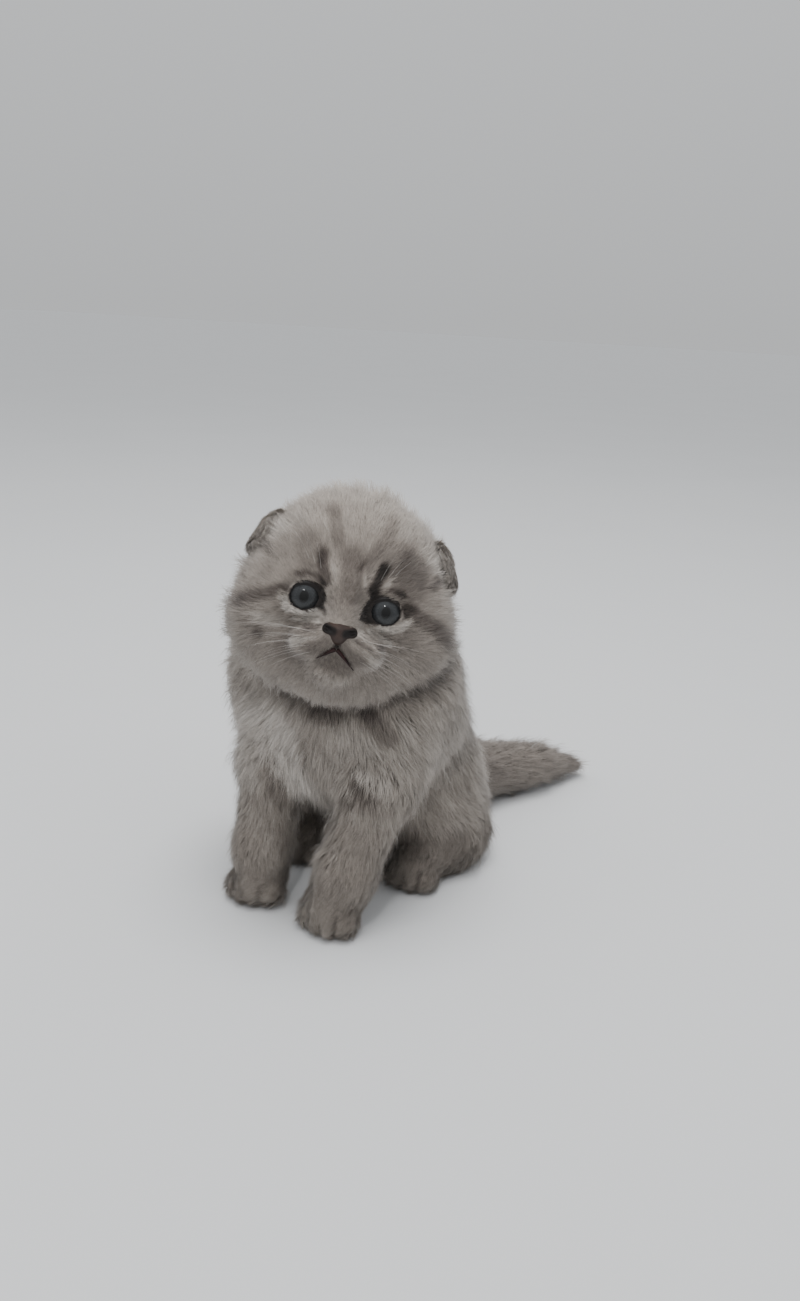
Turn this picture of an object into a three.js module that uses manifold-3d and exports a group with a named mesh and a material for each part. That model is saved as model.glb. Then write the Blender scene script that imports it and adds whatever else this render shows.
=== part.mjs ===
// A Scottish fold kitten of about seven weeks, sitting with its head turned and lifted, at life size.
// Millimetres. It faces -Y, its left side is +X, and the floor is z = 0.
// Every outline is the outline of the coat, out to the tips of the fur.
import * as THREE from "three";
import { mergeVertices } from "three/addons/utils/BufferGeometryUtils.js";
import Module from "manifold-3d";

const wasm = await Module();
wasm.setup();

const at = (x, y, z) => new THREE.Vector3(x, y, z);
const degrees = THREE.MathUtils.degToRad;
const { lerp, clamp } = THREE.MathUtils;

// Driving sizes
const GAP = 0.3;
const WIDE_GAP = 0.65;
const HEAD_CENTRE = at(-1, -29.1, 111);
const HEAD_TURN = 29.2;
const HEAD_LIFT = 15;
const HEAD_TILT = 9.2;
const EYE_RADIUS = 7;
const EYE_CENTRE = at(13.6, -24.8, -1.6);
const LID_THICKNESS = 1;
const EYE_OPENING = at(5.3, 6, 4.7);
const TOE_RADIUS = 5.2;
const FLOOR_DEPTH = 40;

// The four limbs and the tail as chains of a place and the half thickness there
const FORELEG_LEFT = [[17, -25, 70, 13], [21, -39, 50, 14], [17.8, -55, 22, 11.2], [15.5, -59.5, 10, 10.6]];
const FORELEG_RIGHT = [
  [-17, -25, 70, 13],
  [-21.5, -41, 48, 13.5],
  [-18.5, -54, 20, 10.6],
  [-18, -56, 10, 10.6],
];
const HIND_FOOT_LEFT = [[31, 12, 11, 11.5], [30, -1, 10, 11], [27, -17, 9, 9.6]];
const HIND_FOOT_RIGHT = [[-31, 12, 11, 11.5], [-27, -2, 10, 11], [-21, -21, 9, 9.6]];
const TAIL = [[2, 34, 24, 15], [17, 66, 14.2, 13.5], [33, 92, 11, 11.3], [45, 111, 7.8, 7.4]];

// Distance to a ball stretched to the half sizes r
function ellipsoid(p, c, r) {
  const q = p.clone().sub(c).divide(r);
  const near = q.length();
  const slope = q.divide(r).length();
  return slope < 1e-6 ? -Math.min(r.x, r.y, r.z) : (near * (near - 1)) / slope;
}

// Distance to a round bar that tapers from one place to the next
function taper(p, a, b, ra, rb) {
  const run = b.clone().sub(a);
  const t = clamp(p.clone().sub(a).dot(run) / run.lengthSq(), 0, 1);
  return p.distanceTo(run.multiplyScalar(t).add(a)) - lerp(ra, rb, t);
}

// Two distances joined, or one carved out of the other, with a fillet k wide
function join(a, b, k) {
  const h = Math.max(k - Math.abs(a - b), 0) / k;
  return Math.min(a, b) - h * h * k * 0.25;
}
const carve = (a, b, k) => -join(-a, b, k);

const mirrored = (p) => at(Math.abs(p.x), p.y, p.z);

// The same draw of numbers on every run
let seed = 7;
function draw(low, high) {
  seed = (seed * 16807) % 2147483647;
  return lerp(low, high, seed / 2147483647);
}

function chain(p, links, k) {
  let d = Infinity;
  for (let i = 1; i < links.length; i++) {
    const [ax, ay, az, ra] = links[i - 1];
    const [bx, by, bz, rb] = links[i];
    const link = taper(p, at(ax, ay, az), at(bx, by, bz), ra, rb);
    d = i === 1 ? link : join(d, link, k);
  }
  return d;
}

// The head, in its own frame: x to the kitten's left, -y out of the face, z up
function headShape(p) {
  const m = mirrored(p);
  let d = ellipsoid(p, at(0, 3, 8), at(33, 33, 30.5));
  d = join(d, ellipsoid(m, at(18.5, -3, -10), at(20.6, 23, 21)), 14);
  d = join(d, ellipsoid(p, at(0, -12, -22), at(21, 18, 14.5)), 12);
  d = join(d, ellipsoid(m, at(6.8, -29.5, -15.8), at(8.5, 7.2, 6.2)), 5);
  d = join(d, taper(p, at(0, -25, 2), at(0, -32.6, -9), 8.5, 4.2), 8);
  d = join(d, ellipsoid(p, at(0, -27.5, -23.5), at(7.5, 6.5, 5.5)), 4);
  d = carve(d, ellipsoid(m, at(14, -37, -1.5), at(8, 7, 7)), 5);
  return carve(d, ellipsoid(m, at(33, -6.5, 12.5), at(8, 5, 5)), 2);
}

// The trunk with neck, breast and haunches
function bodyShape(p) {
  const m = mirrored(p);
  const nape = HEAD_CENTRE.clone().add(at(0, 7, -4));
  let d = ellipsoid(p, at(-2, -14, 72), at(38, 31, 42));
  d = join(d, ellipsoid(p, at(-2, 9, 42), at(34, 32, 42)), 22);
  d = join(d, taper(p, at(0, -16, 90), nape, 26, 27), 16);
  d = join(d, ellipsoid(p, at(-31, -24, 75), at(17, 17, 32)), 10);
  d = join(d, ellipsoid(p, at(0, -34, 66), at(25, 17, 28)), 14);
  d = join(d, taper(m, at(19, -26, 76), at(22.5, -37, 54), 15.5, 12.5), 12);
  return join(d, ellipsoid(m, at(24, 8, 25), at(17, 27, 25)), 12);
}

// Four toes side by side at the front of a paw
function toes(p, paw) {
  const [x, y, z, r] = paw;
  let d = Infinity;
  for (const side of [-1.5, -0.5, 0.5, 1.5]) {
    const reach = r * (Math.abs(side) > 1 ? 0.3 : 0.5);
    const toe = at(x + side * r * 0.49, y - reach, z - r * 0.45);
    const bulb = ellipsoid(p, toe, at(TOE_RADIUS * 0.84, TOE_RADIUS * 1.1, TOE_RADIUS));
    d = Math.min(d, bulb);
  }
  return d;
}
const legShape = (links) => (p) => join(chain(p, links, 5), toes(p, links.at(-1)), 2);
const tailShape = (p) => chain(p, TAIL, 2);

// The way out from a start inside a shape to its surface, or to a shell of it grown by some amount
function reach(shape, start, way, grown = 0) {
  const stride = 1.5;
  let far = stride;
  const value = (t) => shape(way.clone().multiplyScalar(t).add(start)) - grown;
  while (value(far) < 0 && far < 250) far += stride;
  let near = far - stride;
  for (let i = 0; i < 24; i++) {
    const middle = (near + far) / 2;
    if (value(middle) < 0) near = middle;
    else far = middle;
  }
  return way.clone().multiplyScalar(near).add(start);
}

function moveEach(geometry, place) {
  const corners = geometry.attributes.position;
  const v = new THREE.Vector3();
  for (let i = 0; i < corners.count; i++) {
    const to = place(v.fromBufferAttribute(corners, i));
    corners.setXYZ(i, to.x, to.y, to.z);
  }
  return geometry;
}

// A ball whose corners are sent out to a shape's surface, with its rows set closer about the pole
function ballOnto(shape, centre, pole, columns, rows, closer, grown) {
  const turn = new THREE.Quaternion().setFromUnitVectors(at(0, 1, 0), pole);
  return moveEach(new THREE.SphereGeometry(1, columns, rows), (v) => {
    const dip = Math.PI * Math.pow(Math.acos(clamp(v.y, -1, 1)) / Math.PI, closer);
    const round = Math.atan2(v.z, v.x);
    const way = at(Math.sin(dip) * Math.cos(round), Math.cos(dip), Math.sin(dip) * Math.sin(round));
    return reach(shape, centre, way.applyQuaternion(turn), grown);
  });
}

function frameAlong(curve, t, side) {
  const ahead = curve.getTangent(t);
  const across = side.clone().addScaledVector(ahead, -side.dot(ahead)).normalize();
  const over = across.clone().cross(ahead);
  return { ahead, across, over };
}

// A round-ended bar along a limb's chain, whose corners are sent out to the limb's surface
function limbOnto(shape, links, columns, rows, capRows) {
  const curve = new THREE.CatmullRomCurve3(links.map(([x, y, z]) => at(x, y, z)));
  const length = 10;
  const bar = new THREE.CapsuleGeometry(1, length, capRows, columns, rows);
  return moveEach(bar, (v) => {
    const middle = clamp(v.y, -length / 2, length / 2);
    const t = middle / length + 0.5;
    const { ahead, across, over } = frameAlong(curve, t, at(1, 0, 0));
    const way = across.multiplyScalar(v.x).addScaledVector(ahead, v.y - middle).addScaledVector(over, v.z);
    return reach(shape, curve.getPoint(t), way.normalize());
  });
}

// A closed strip drawn along a curve, oval in section, its half width and half thickness given along it
function strip(curve, side, columns, rows, halfWidth, halfThickness) {
  return moveEach(new THREE.SphereGeometry(1, columns, rows), (v) => {
    const t = 1 - Math.acos(clamp(v.y, -1, 1)) / Math.PI;
    const ring = Math.hypot(v.x, v.z) > 1e-6 ? 1 : 0;
    const round = Math.atan2(v.z, v.x);
    const { across, over } = frameAlong(curve, t, side);
    return curve
      .getPoint(t)
      .addScaledVector(across, ring * Math.cos(round) * halfWidth(t))
      .addScaledVector(over, ring * Math.sin(round) * halfThickness(t));
  });
}
// A flat lock of fur: rooted under the surface, bent along the lie and lifted clear at the tip
function lock({ shape, foot, lie, size }, grown = 0) {
  const out = outward(shape, foot);
  const down = lie.clone().addScaledVector(out, -lie.dot(out)).normalize();
  const along = (run, lift) => foot.clone().addScaledVector(down, run).addScaledVector(out, lift);
  const { length, width, thickness, lift } = size;
  const root = along(-0.12 * length, -0.5 * thickness - 1);
  const spine = [root, along(0.45 * length, 0.5), along(length, lift)];
  const curve = new THREE.CatmullRomCurve3(spine);
  const halfWidth = (t) => (Math.sin(Math.PI * Math.pow(t, 0.6)) * 0.8 + 0.2) * 0.5 * width + grown;
  const halfThickness = (t) => (1 - 0.8 * t) * 0.5 * thickness + grown;
  return strip(curve, out.clone().cross(down), 6, 4, halfWidth, halfThickness);
}
function outward(shape, p) {
  const step = 0.5;
  const beside = (way, run) => shape(p.clone().addScaledVector(way, run));
  const slope = (way) => beside(way, step) - beside(way, -step);
  return at(slope(at(1, 0, 0)), slope(at(0, 1, 0)), slope(at(0, 0, 1))).normalize();
}

const ball = (centre, half, columns = 20, rows = 14) =>
  new THREE.SphereGeometry(1, columns, rows).scale(half.x, half.y, half.z).translate(...centre);

// Solids from closed geometry, and back
function solid(geometry) {
  const bare = new THREE.BufferGeometry().setAttribute("position", geometry.attributes.position);
  const merged = mergeVertices(bare.setIndex(geometry.index), 1e-3);
  const corners = merged.index.array;
  const kept = [];
  for (let i = 0; i < corners.length; i += 3) {
    const [a, b, c] = corners.subarray(i, i + 3);
    if (a !== b && b !== c && c !== a) kept.push(a, b, c);
  }
  const vertProperties = merged.attributes.position.array;
  return new wasm.Manifold(new wasm.Mesh({ numProp: 3, vertProperties, triVerts: new Uint32Array(kept) }));
}
const largest = (body) => body.decompose().reduce((a, b) => (a.volume() > b.volume() ? a : b));
const fused = (bodies) => bodies.reduce((a, b) => a.add(b));

function geometryOf(body) {
  const { vertProperties, triVerts } = body.getMesh();
  return new THREE.BufferGeometry()
    .setAttribute("position", new THREE.BufferAttribute(vertProperties, 3))
    .setIndex(new THREE.BufferAttribute(triVerts, 1));
}

const headPlace = new THREE.Matrix4().makeRotationFromQuaternion(
  new THREE.Quaternion()
    .setFromAxisAngle(at(0, 0, 1), degrees(HEAD_TURN))
    .multiply(new THREE.Quaternion().setFromAxisAngle(at(1, 0, 0), degrees(-HEAD_LIFT)))
    .multiply(new THREE.Quaternion().setFromAxisAngle(at(0, 1, 0), degrees(HEAD_TILT))),
);
headPlace.setPosition(HEAD_CENTRE);
const onHead = (geometry) => solid(geometry.applyMatrix4(headPlace));

const coat = { color: 0x87807a, roughness: 0.95, metalness: 0 };
const nodes = [];
function addNode(name, body, look = coat) {
  const mesh = new THREE.Mesh(geometryOf(body), new THREE.MeshStandardMaterial(look));
  mesh.name = name;
  nodes.push(mesh);
}

// Eyes
const eyes = [1, -1].map((side) => at(side * EYE_CENTRE.x, EYE_CENTRE.y, EYE_CENTRE.z));
const eyeLook = { color: 0x464f52, roughness: 0.1, metalness: 0 };
eyes.forEach((centre, i) => {
  const eye = ball(centre, at(EYE_RADIUS, EYE_RADIUS, EYE_RADIUS), 18, 11);
  addNode(i ? "eye_right" : "eye_left", onHead(eye), eyeLook);
});

// Nose leather: a rounded wedge, broad at the top and narrow at the lip, with two nostrils
const noseLine = new THREE.CatmullRomCurve3([at(0, -33.6, -6.4), at(0, -35.6, -10), at(0, -35.4, -15)]);
function noseWedge(grown) {
  const halfWidth = (t) => Math.sqrt(Math.sin(Math.PI * clamp(t, 0, 1))) * lerp(6.2, 1.6, t) + grown;
  const halfThickness = (t) => Math.sqrt(Math.sin(Math.PI * clamp(t, 0, 1))) * 2.6 + grown;
  return strip(noseLine, at(1, 0, 0), 14, 9, halfWidth, halfThickness);
}
const nostrils = [1, -1].map((side) => {
  const slot = new THREE.SphereGeometry(1, 10, 8).scale(1.5, 2, 0.85).rotateY(degrees(side * 25));
  return onHead(slot.translate(side * 3.3, -38, -10.3));
});
const nose = onHead(noseWedge(0)).subtract(fused(nostrils));
addNode("nose", nose, { color: 0x553e3c, roughness: 0.6, metalness: 0 });

// Head: skull, cheeks and muzzle with the lids about each eye, the line of the mouth and the lips
const FACE = at(0, -1, 0);
const HEAD_MIDDLE = at(0, -2, -2);
const head = onHead(ballOnto(headShape, HEAD_MIDDLE, FACE, 38, 27, 1.4, 0));
const headGrown = onHead(ballOnto(headShape, HEAD_MIDDLE, FACE, 30, 20, 1.2, WIDE_GAP));
const lidSize = EYE_RADIUS + GAP + LID_THICKNESS;
const lids = eyes.map((c) => onHead(ball(c, at(lidSize, lidSize, lidSize), 18, 10)));
const sockets = eyes.map((c) => {
  const size = EYE_RADIUS + GAP;
  return onHead(ball(c, at(size, size, size), 14, 9));
});
const openings = eyes.map((c) => onHead(ball(c.clone().add(at(0, -8, 0)), EYE_OPENING, 20, 8)));

const mouthCentre = at(0, -36.4, -16.6);
const mouthSides = [
  [mouthCentre, at(3.8, -35.2, -19.6), at(8.2, -31.2, -22.6)],
  [mouthCentre, at(-3.4, -35.2, -19), at(-7, -31.4, -21.6)],
];
const along = (points) => new THREE.CatmullRomCurve3(points);
const evenly = (size) => (t) => Math.sqrt(Math.sin(Math.PI * clamp(t, 0, 1))) * size;
const mouthCuts = mouthSides.map((points) => {
  return onHead(strip(along(points), at(0, 0, 1), 8, 8, evenly(0.9), evenly(2)));
});
const lips = mouthSides.map((points) => {
  const lower = points.map((p) => p.clone().add(at(0, 2.2, -1.8)));
  return onHead(strip(along(lower), at(0, 0, 1), 8, 8, evenly(1.1), evenly(1.7)));
});
const philtrumLine = along([at(0, -37, -13.6), at(0, -37.4, -15), at(0, -37, -17)]);
const philtrum = onHead(strip(philtrumLine, at(1, 0, 0), 8, 6, evenly(0.6), evenly(1)));

// Fluff on the head: a ruff of locks round each cheek and the jaw, and loose wisps on the crown
function ruff() {
  const locks = [];
  for (const side of [1, -1]) {
    for (let row = 0; row < 2; row++) {
      for (let i = 0; i < 6; i++) {
        const turn = degrees(side * (12 + i * 17 + row * 8 + draw(-3, 3)));
        const slope = degrees(-58 + i * 9.5 - row * 9);
        const way = at(Math.sin(turn) * Math.cos(slope), -Math.cos(turn) * Math.cos(slope), Math.sin(slope));
        const foot = reach(headShape, HEAD_MIDDLE, way).addScaledVector(way, -1);
        const lie = foot.clone().sub(at(0, -36, -8));
        const size = { length: draw(12, 15), width: draw(8, 9.5), thickness: 2.6, lift: draw(0.4, 1.2) };
        locks.push({ shape: headShape, foot, lie, size });
      }
    }
  }
  return locks;
}
function crownWisps() {
  const locks = [];
  for (let i = 0; i < 8; i++) {
    const turn = degrees(i * 45 + draw(-12, 12));
    const spread = draw(0.1, 0.38);
    const way = at(Math.sin(turn) * spread, -0.15 + Math.cos(turn) * spread, 1).normalize();
    const foot = reach(headShape, HEAD_MIDDLE, way).addScaledVector(way, -1);
    const lie = at(way.x * 1.6, 1, 0.2);
    const size = { length: draw(11, 14), width: draw(5.5, 7), thickness: 2, lift: draw(1.4, 2.6) };
    locks.push({ shape: headShape, foot, lie, size });
  }
  return locks;
}

const headWhole = fused([head, ...lids, ...lips])
  .subtract(fused([...sockets, ...openings, ...mouthCuts, philtrum]))
  .subtract(onHead(noseWedge(GAP)));
const fluff = [...ruff(), ...crownWisps()];
const headFluff = fused(fluff.map((one) => onHead(lock(one))));
const fluffGrown = fused(fluff.map((one) => onHead(lock(one, GAP))));

// Ears: small flaps folded forward and down over the skull, with the cup open under each
const earPoints = [at(26.8, 6.2, 27.6), at(30.9, 3.4, 23), at(33.4, -0.3, 17.2), at(34, -5, 10.8)];
const earSide = at(0.4, 0.82, -0.3);
function earFlap() {
  const halfWidth = (t) => 9.5 * Math.sqrt(Math.sin(Math.PI * clamp(0.18 + 0.82 * t, 0, 1)));
  return strip(along(earPoints), earSide, 12, 10, halfWidth, () => 1.6);
}

// Trunk in two nodes, parted by a sloped plane under the head
const BODY_MIDDLE = at(-1, -4, 58);
const UP = at(0, 0, 1);
const body = solid(ballOnto(bodyShape, BODY_MIDDLE, UP, 40, 24, 1, 0));
const bodyGrown = solid(ballOnto(bodyShape, BODY_MIDDLE, UP, 40, 24, 1, GAP));
const floor = solid(new THREE.BoxGeometry(400, 400, FLOOR_DEPTH).translate(0, 0, -FLOOR_DEPTH / 2));
const onFloor = (piece) => largest(piece.subtract(floor));

function collarBlock(lift) {
  const size = 200;
  const block = new THREE.BoxGeometry(size, size, size).translate(0, 0, size / 2 + lift);
  return solid(block.rotateX(degrees(20)).translate(0, -14, 88));
}

// Limbs
const limb = (links, columns, rows) =>
  solid(limbOnto(legShape(links), links, columns, rows, 6)).subtract(bodyGrown.add(headGrown));
const foreLeft = limb(FORELEG_LEFT, 20, 7);
const foreRight = limb(FORELEG_RIGHT, 20, 7);

const feet = [HIND_FOOT_LEFT, HIND_FOOT_RIGHT].map((links) => (grown) => {
  const shape = (p) => legShape(links)(p) - grown;
  return solid(limbOnto(shape, links, 18, 4, 5));
});
// The thigh is the side of the body that lies within a large ball
const haunches = [1, -1].map((side) => (grown) => {
  const size = at(24, 28, 29).addScalar(grown);
  return solid(ball(at(side * 46, 9, 27), size, 28, 18));
});
const hindLegs = [0, 1].map((i) => body.intersect(haunches[i](0)).add(feet[i](0)));

let torso = body.subtract(collarBlock(-GAP / 2));
for (const i of [0, 1]) torso = torso.subtract(haunches[i](GAP)).subtract(feet[i](GAP));
torso = torso.subtract(headGrown);
const neck = body.intersect(collarBlock(GAP / 2)).subtract(headGrown);

const locksOf = (list, grown) => fused(list.map((one) => solid(lock(one, grown))));

// The bib of loose locks down the breast
function bib() {
  const locks = [];
  for (let row = 0; row < 5; row++) {
    const across = 4 + (row % 2);
    for (let i = 0; i < across; i++) {
      const turn = degrees((i - (across - 1) / 2) * 17 + draw(-3, 3));
      const start = at(-2, -14, 80 - row * 8.5 + draw(-1.5, 1.5));
      const foot = reach(bodyShape, start, at(Math.sin(turn), -Math.cos(turn), 0));
      const size = { length: draw(13, 16), width: draw(8, 10), thickness: 2.6, lift: draw(0.8, 1.8) };
      locks.push({ shape: bodyShape, foot, lie: at(Math.sin(turn) * 0.5, 0, -1), size });
    }
  }
  return locks;
}

// Locks that end the coat of the tail
function tailTip() {
  const tip = at(...TAIL.at(-1).slice(0, 3));
  const run = tip.clone().sub(at(...TAIL.at(-2).slice(0, 3))).normalize();
  const across = run.clone().cross(UP).normalize();
  const locks = [];
  for (let row = 0; row < 2; row++) {
    for (let i = 0; i < 5; i++) {
      const turn = degrees(-10 + i * 50 + row * 25);
      const way = across.clone().multiplyScalar(Math.cos(turn)).addScaledVector(UP, Math.sin(turn));
      const foot = reach(tailShape, tip.clone().addScaledVector(run, 3 - row * 11), way);
      const size = { length: draw(9, 12), width: 5, thickness: 2, lift: draw(-2.5, -1) + row };
      locks.push({ shape: tailShape, foot, lie: run, size });
    }
  }
  return locks;
}
const tail = solid(limbOnto(tailShape, TAIL, 14, 8, 5)).subtract(bodyGrown);

addNode("head", largest(headWhole.add(headFluff.subtract(bodyGrown))));
[1, -1].forEach((side, i) => {
  const flap = earFlap();
  if (side < 0) {
    flap.scale(-1, 1, 1);
    flap.index.array.reverse();
  }
  addNode(i ? "ear_right" : "ear_left", largest(onHead(flap).subtract(headGrown.add(fluffGrown))));
});
addNode("neck", largest(neck));
const breast = bib();
const clear = headGrown.add(collarBlock(-GAP / 2));
addNode("torso", onFloor(torso.add(locksOf(breast).subtract(clear))));
const breastGrown = locksOf(breast, GAP);
addNode("foreleg_left", onFloor(foreLeft.subtract(breastGrown)));
addNode("foreleg_right", onFloor(foreRight.subtract(breastGrown)));
addNode("hindleg_left", onFloor(hindLegs[0]));
addNode("hindleg_right", onFloor(hindLegs[1]));
addNode("tail", onFloor(tail.add(locksOf(tailTip()))));

// The whole stands with the middle of its footprint box at the origin
const kitten = new THREE.Group();
kitten.add(...nodes);
const box = new THREE.Box3().setFromObject(kitten);
const middle = box.getCenter(new THREE.Vector3());
kitten.position.set(-middle.x, -middle.y, -box.min.z);

export default kitten;
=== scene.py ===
"""The looks of a seven-week-old Scottish fold kitten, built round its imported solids.

Shapes are worked out in millimetres in the kitten's own frame: it faces -Y, its left is +X and
the floor is z = 0. Head pieces use the head's frame: x to its left, -y out of the face, z up.
"""

import math
from collections import namedtuple

import bpy
import numpy as np
from mathutils import Matrix, Vector


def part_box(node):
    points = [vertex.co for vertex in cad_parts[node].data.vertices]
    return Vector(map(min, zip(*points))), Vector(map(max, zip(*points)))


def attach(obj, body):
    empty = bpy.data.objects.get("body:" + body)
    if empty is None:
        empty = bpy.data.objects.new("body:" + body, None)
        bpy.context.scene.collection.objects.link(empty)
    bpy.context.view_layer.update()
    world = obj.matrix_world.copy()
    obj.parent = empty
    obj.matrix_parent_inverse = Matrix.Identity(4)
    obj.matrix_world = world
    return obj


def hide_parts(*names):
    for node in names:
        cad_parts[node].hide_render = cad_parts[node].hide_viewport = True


bl_info = {
    "name": "Fold-eared kitten",
    "version": (1, 0, 0),
    "blender": (4, 5, 0),
    "location": "View3D > Sidebar > Kitten",
    "description": "Builds the skin, coat, eyes and muzzle of a sitting kitten",
    "category": "Object",
}

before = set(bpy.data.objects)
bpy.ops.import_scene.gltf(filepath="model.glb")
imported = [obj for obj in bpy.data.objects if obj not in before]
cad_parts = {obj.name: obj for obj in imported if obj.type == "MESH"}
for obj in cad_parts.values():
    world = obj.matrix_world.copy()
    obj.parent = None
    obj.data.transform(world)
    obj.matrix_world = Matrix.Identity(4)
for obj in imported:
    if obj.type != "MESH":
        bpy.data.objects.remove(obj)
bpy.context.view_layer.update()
MM = 0.001

# Sizes shared with the solids
HEAD_CENTRE = np.array([-1.0, -29.1, 111.0])
HEAD_TURN, HEAD_LIFT, HEAD_TILT = 29.2, 15.0, 9.2
EYE_RADIUS = 7.0
EYE_CENTRE = np.array([13.6, -24.8, -1.6])
EYE_OPENING = (5.3, 4.35)
TOE_RADIUS = 5.2
FORELEG_LEFT = [
    (17, -25, 70, 13), (21, -39, 50, 14), (17.8, -55, 22, 11.2), (15.5, -59.5, 10, 10.6)
]
FORELEG_RIGHT = [
    (-17, -25, 70, 13), (-21.5, -41, 48, 13.5), (-18.5, -54, 20, 10.6), (-18, -56, 10, 10.6)
]
HIND_FOOT_LEFT = [(31, 12, 11, 11.5), (30, -1, 10, 11), (27, -17, 9, 9.6)]
HIND_FOOT_RIGHT = [(-31, 12, 11, 11.5), (-27, -2, 10, 11), (-21, -21, 9, 9.6)]
PAWS = [leg[-1] for leg in (FORELEG_LEFT, FORELEG_RIGHT, HIND_FOOT_LEFT, HIND_FOOT_RIGHT)]
TOE_PITCH = 0.49  # from the middle of one toe to the next, in radii of the paw
TAIL = [(2, 34, 24, 15), (17, 66, 14.2, 13.5), (33, 92, 10.6, 10.4), (46, 113, 5.8, 4.4)]
EAR_LINE = np.array([(28.4, 5.2, 25.8), (31.2, 3.0, 22.2), (33.2, -0.6, 17.0), (33.8, -5, 11.0)])
EAR_SIDE = np.array((0.4, 0.82, -0.3))
EAR_HALF_WIDTH = 9.2
EAR_THICKNESS = 1.3
SKULL_CENTRE = (0, 3, 8)
NOSE_TIP = (0, -37, -8)

# Finenesses of the nets, and what keeps the fur in its place
SKIN_STEP = 1.1
NOSE_STEP = 0.32
ROOT_SINK = 0.25
DROOP = 170  # the tip of a hair sinks by the square of its run over this
FLOOR_GAP = 0.15
GLOBE_RADIUS = 34  # of the globe that the markings of the head are drawn on

# Camera of the photograph, in the kitten's frame
CAMERA_PLACE = (176.9, -347.9, 208.7)
CAMERA_AHEAD = (-0.4179, 0.8568, -0.302)
CAMERA_RIGHT = (0.8906, 0.452, 0.0499)
CAMERA_LENS = 29.32


def turned(axis, degrees):
    """The axes of a frame turned about one of its own."""
    return np.array(Matrix.Rotation(math.radians(degrees), 3, axis))


HEAD_AXES = turned("Z", HEAD_TURN) @ turned("X", -HEAD_LIFT) @ turned("Y", HEAD_TILT)


def to_head(p):
    return (p - HEAD_CENTRE.astype(p.dtype)) @ HEAD_AXES.astype(p.dtype)


def from_head(q):
    return np.asarray(q, float) @ HEAD_AXES.T + HEAD_CENTRE


def mirrored(p):
    m = p.copy()
    m[..., 0] = np.abs(m[..., 0])
    return m


def frame_shift():
    """Where the kitten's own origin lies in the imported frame, from the two eyes' boxes."""
    seen = np.mean([np.mean(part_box(node), axis=0) for node in ("eye_left", "eye_right")], axis=0)
    eyes = from_head([(s * EYE_CENTRE[0], EYE_CENTRE[1], EYE_CENTRE[2]) for s in (1, -1)])
    return seen - eyes.mean(axis=0) * MM


SHIFT = frame_shift()


def to_frame(p):
    return np.asarray(p) * MM + SHIFT


# Shapes as distances


def ball(p, centre, half):
    """Distance to an ellipsoid."""
    half = np.asarray(half, p.dtype)
    q = (p - np.asarray(centre, p.dtype)) / half
    near = np.sqrt((q * q).sum(-1))
    slope = np.sqrt(((q / half) ** 2).sum(-1))
    return near * (near - 1) / np.maximum(slope, 1e-6)


def taper(p, a, b, ra, rb):
    """Distance to a round bar that tapers from a to b."""
    a, b = np.asarray(a, p.dtype), np.asarray(b, p.dtype)
    run = b - a
    t = np.clip(((p - a) @ run) / max(run @ run, 1e-9), 0, 1)
    q = p - a - t[..., None] * run
    return np.sqrt((q * q).sum(-1)) - (ra + (rb - ra) * t)


def join(a, b, k):
    """Two shapes as one, with a fillet of about k."""
    h = np.maximum(k - np.abs(a - b), 0) / k
    return np.minimum(a, b) - h * h * k * 0.25


def carve(a, b, k):
    return -join(-a, b, k)


def chain(p, links, k=5.0):
    """Distance to a run of tapered bars, each link a place and a radius."""
    bars = [taper(p, a[:3], b[:3], a[3], b[3]) for a, b in zip(links[:-1], links[1:])]
    d = bars[0]
    for bar in bars[1:]:
        d = join(d, bar, k)
    return d


def away(q, place):
    return np.sqrt(((q - np.array(place, q.dtype)) ** 2).sum(-1))


def spline_place(points, t):
    """A place on a smooth line through points, t from 0 to 1."""
    s = min(max(t, 0), 1) * (len(points) - 1)
    i = min(int(s), len(points) - 2)
    f = s - i
    p1, p2 = points[i], points[i + 1]
    p0 = points[i - 1] if i > 0 else 2 * p1 - p2
    p3 = points[i + 2] if i + 2 < len(points) else 2 * p2 - p1
    return 0.5 * (
        2 * p1 + (p2 - p0) * f + (2 * p0 - 5 * p1 + 4 * p2 - p3) * f**2
        + (3 * p1 - p0 - 3 * p2 + p3) * f**3
    )


def spline(points, t):
    """A place and the way ahead on a smooth line, which ends a hundredth before its last point."""
    at_end = t >= 0.99
    place = spline_place(points, t - 0.01 if at_end else t)
    other = spline_place(points, t - 0.02 if at_end else t + 0.01)
    ahead = place - other if at_end else other - place
    return place, ahead / np.linalg.norm(ahead)


TAIL_LINE = [spline(np.array(TAIL, float), t)[0] for t in np.linspace(0, 1, 10)]


def toes(p, paw):
    """Distance to the four toes at the front of a paw, the middle two further out."""
    x, y, z, r = paw
    half = (TOE_RADIUS * 0.84, TOE_RADIUS * 1.1, TOE_RADIUS)
    each = []
    for side in (-1.5, -0.5, 0.5, 1.5):
        reach = r * (0.3 if abs(side) > 1 else 0.5)
        each.append(ball(p, (x + side * r * TOE_PITCH, y - reach, z - r * 0.45), half))
    return np.minimum.reduce(each)


def limb(p, links):
    return join(chain(p, links), toes(p, links[-1]), 3.6)


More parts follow.
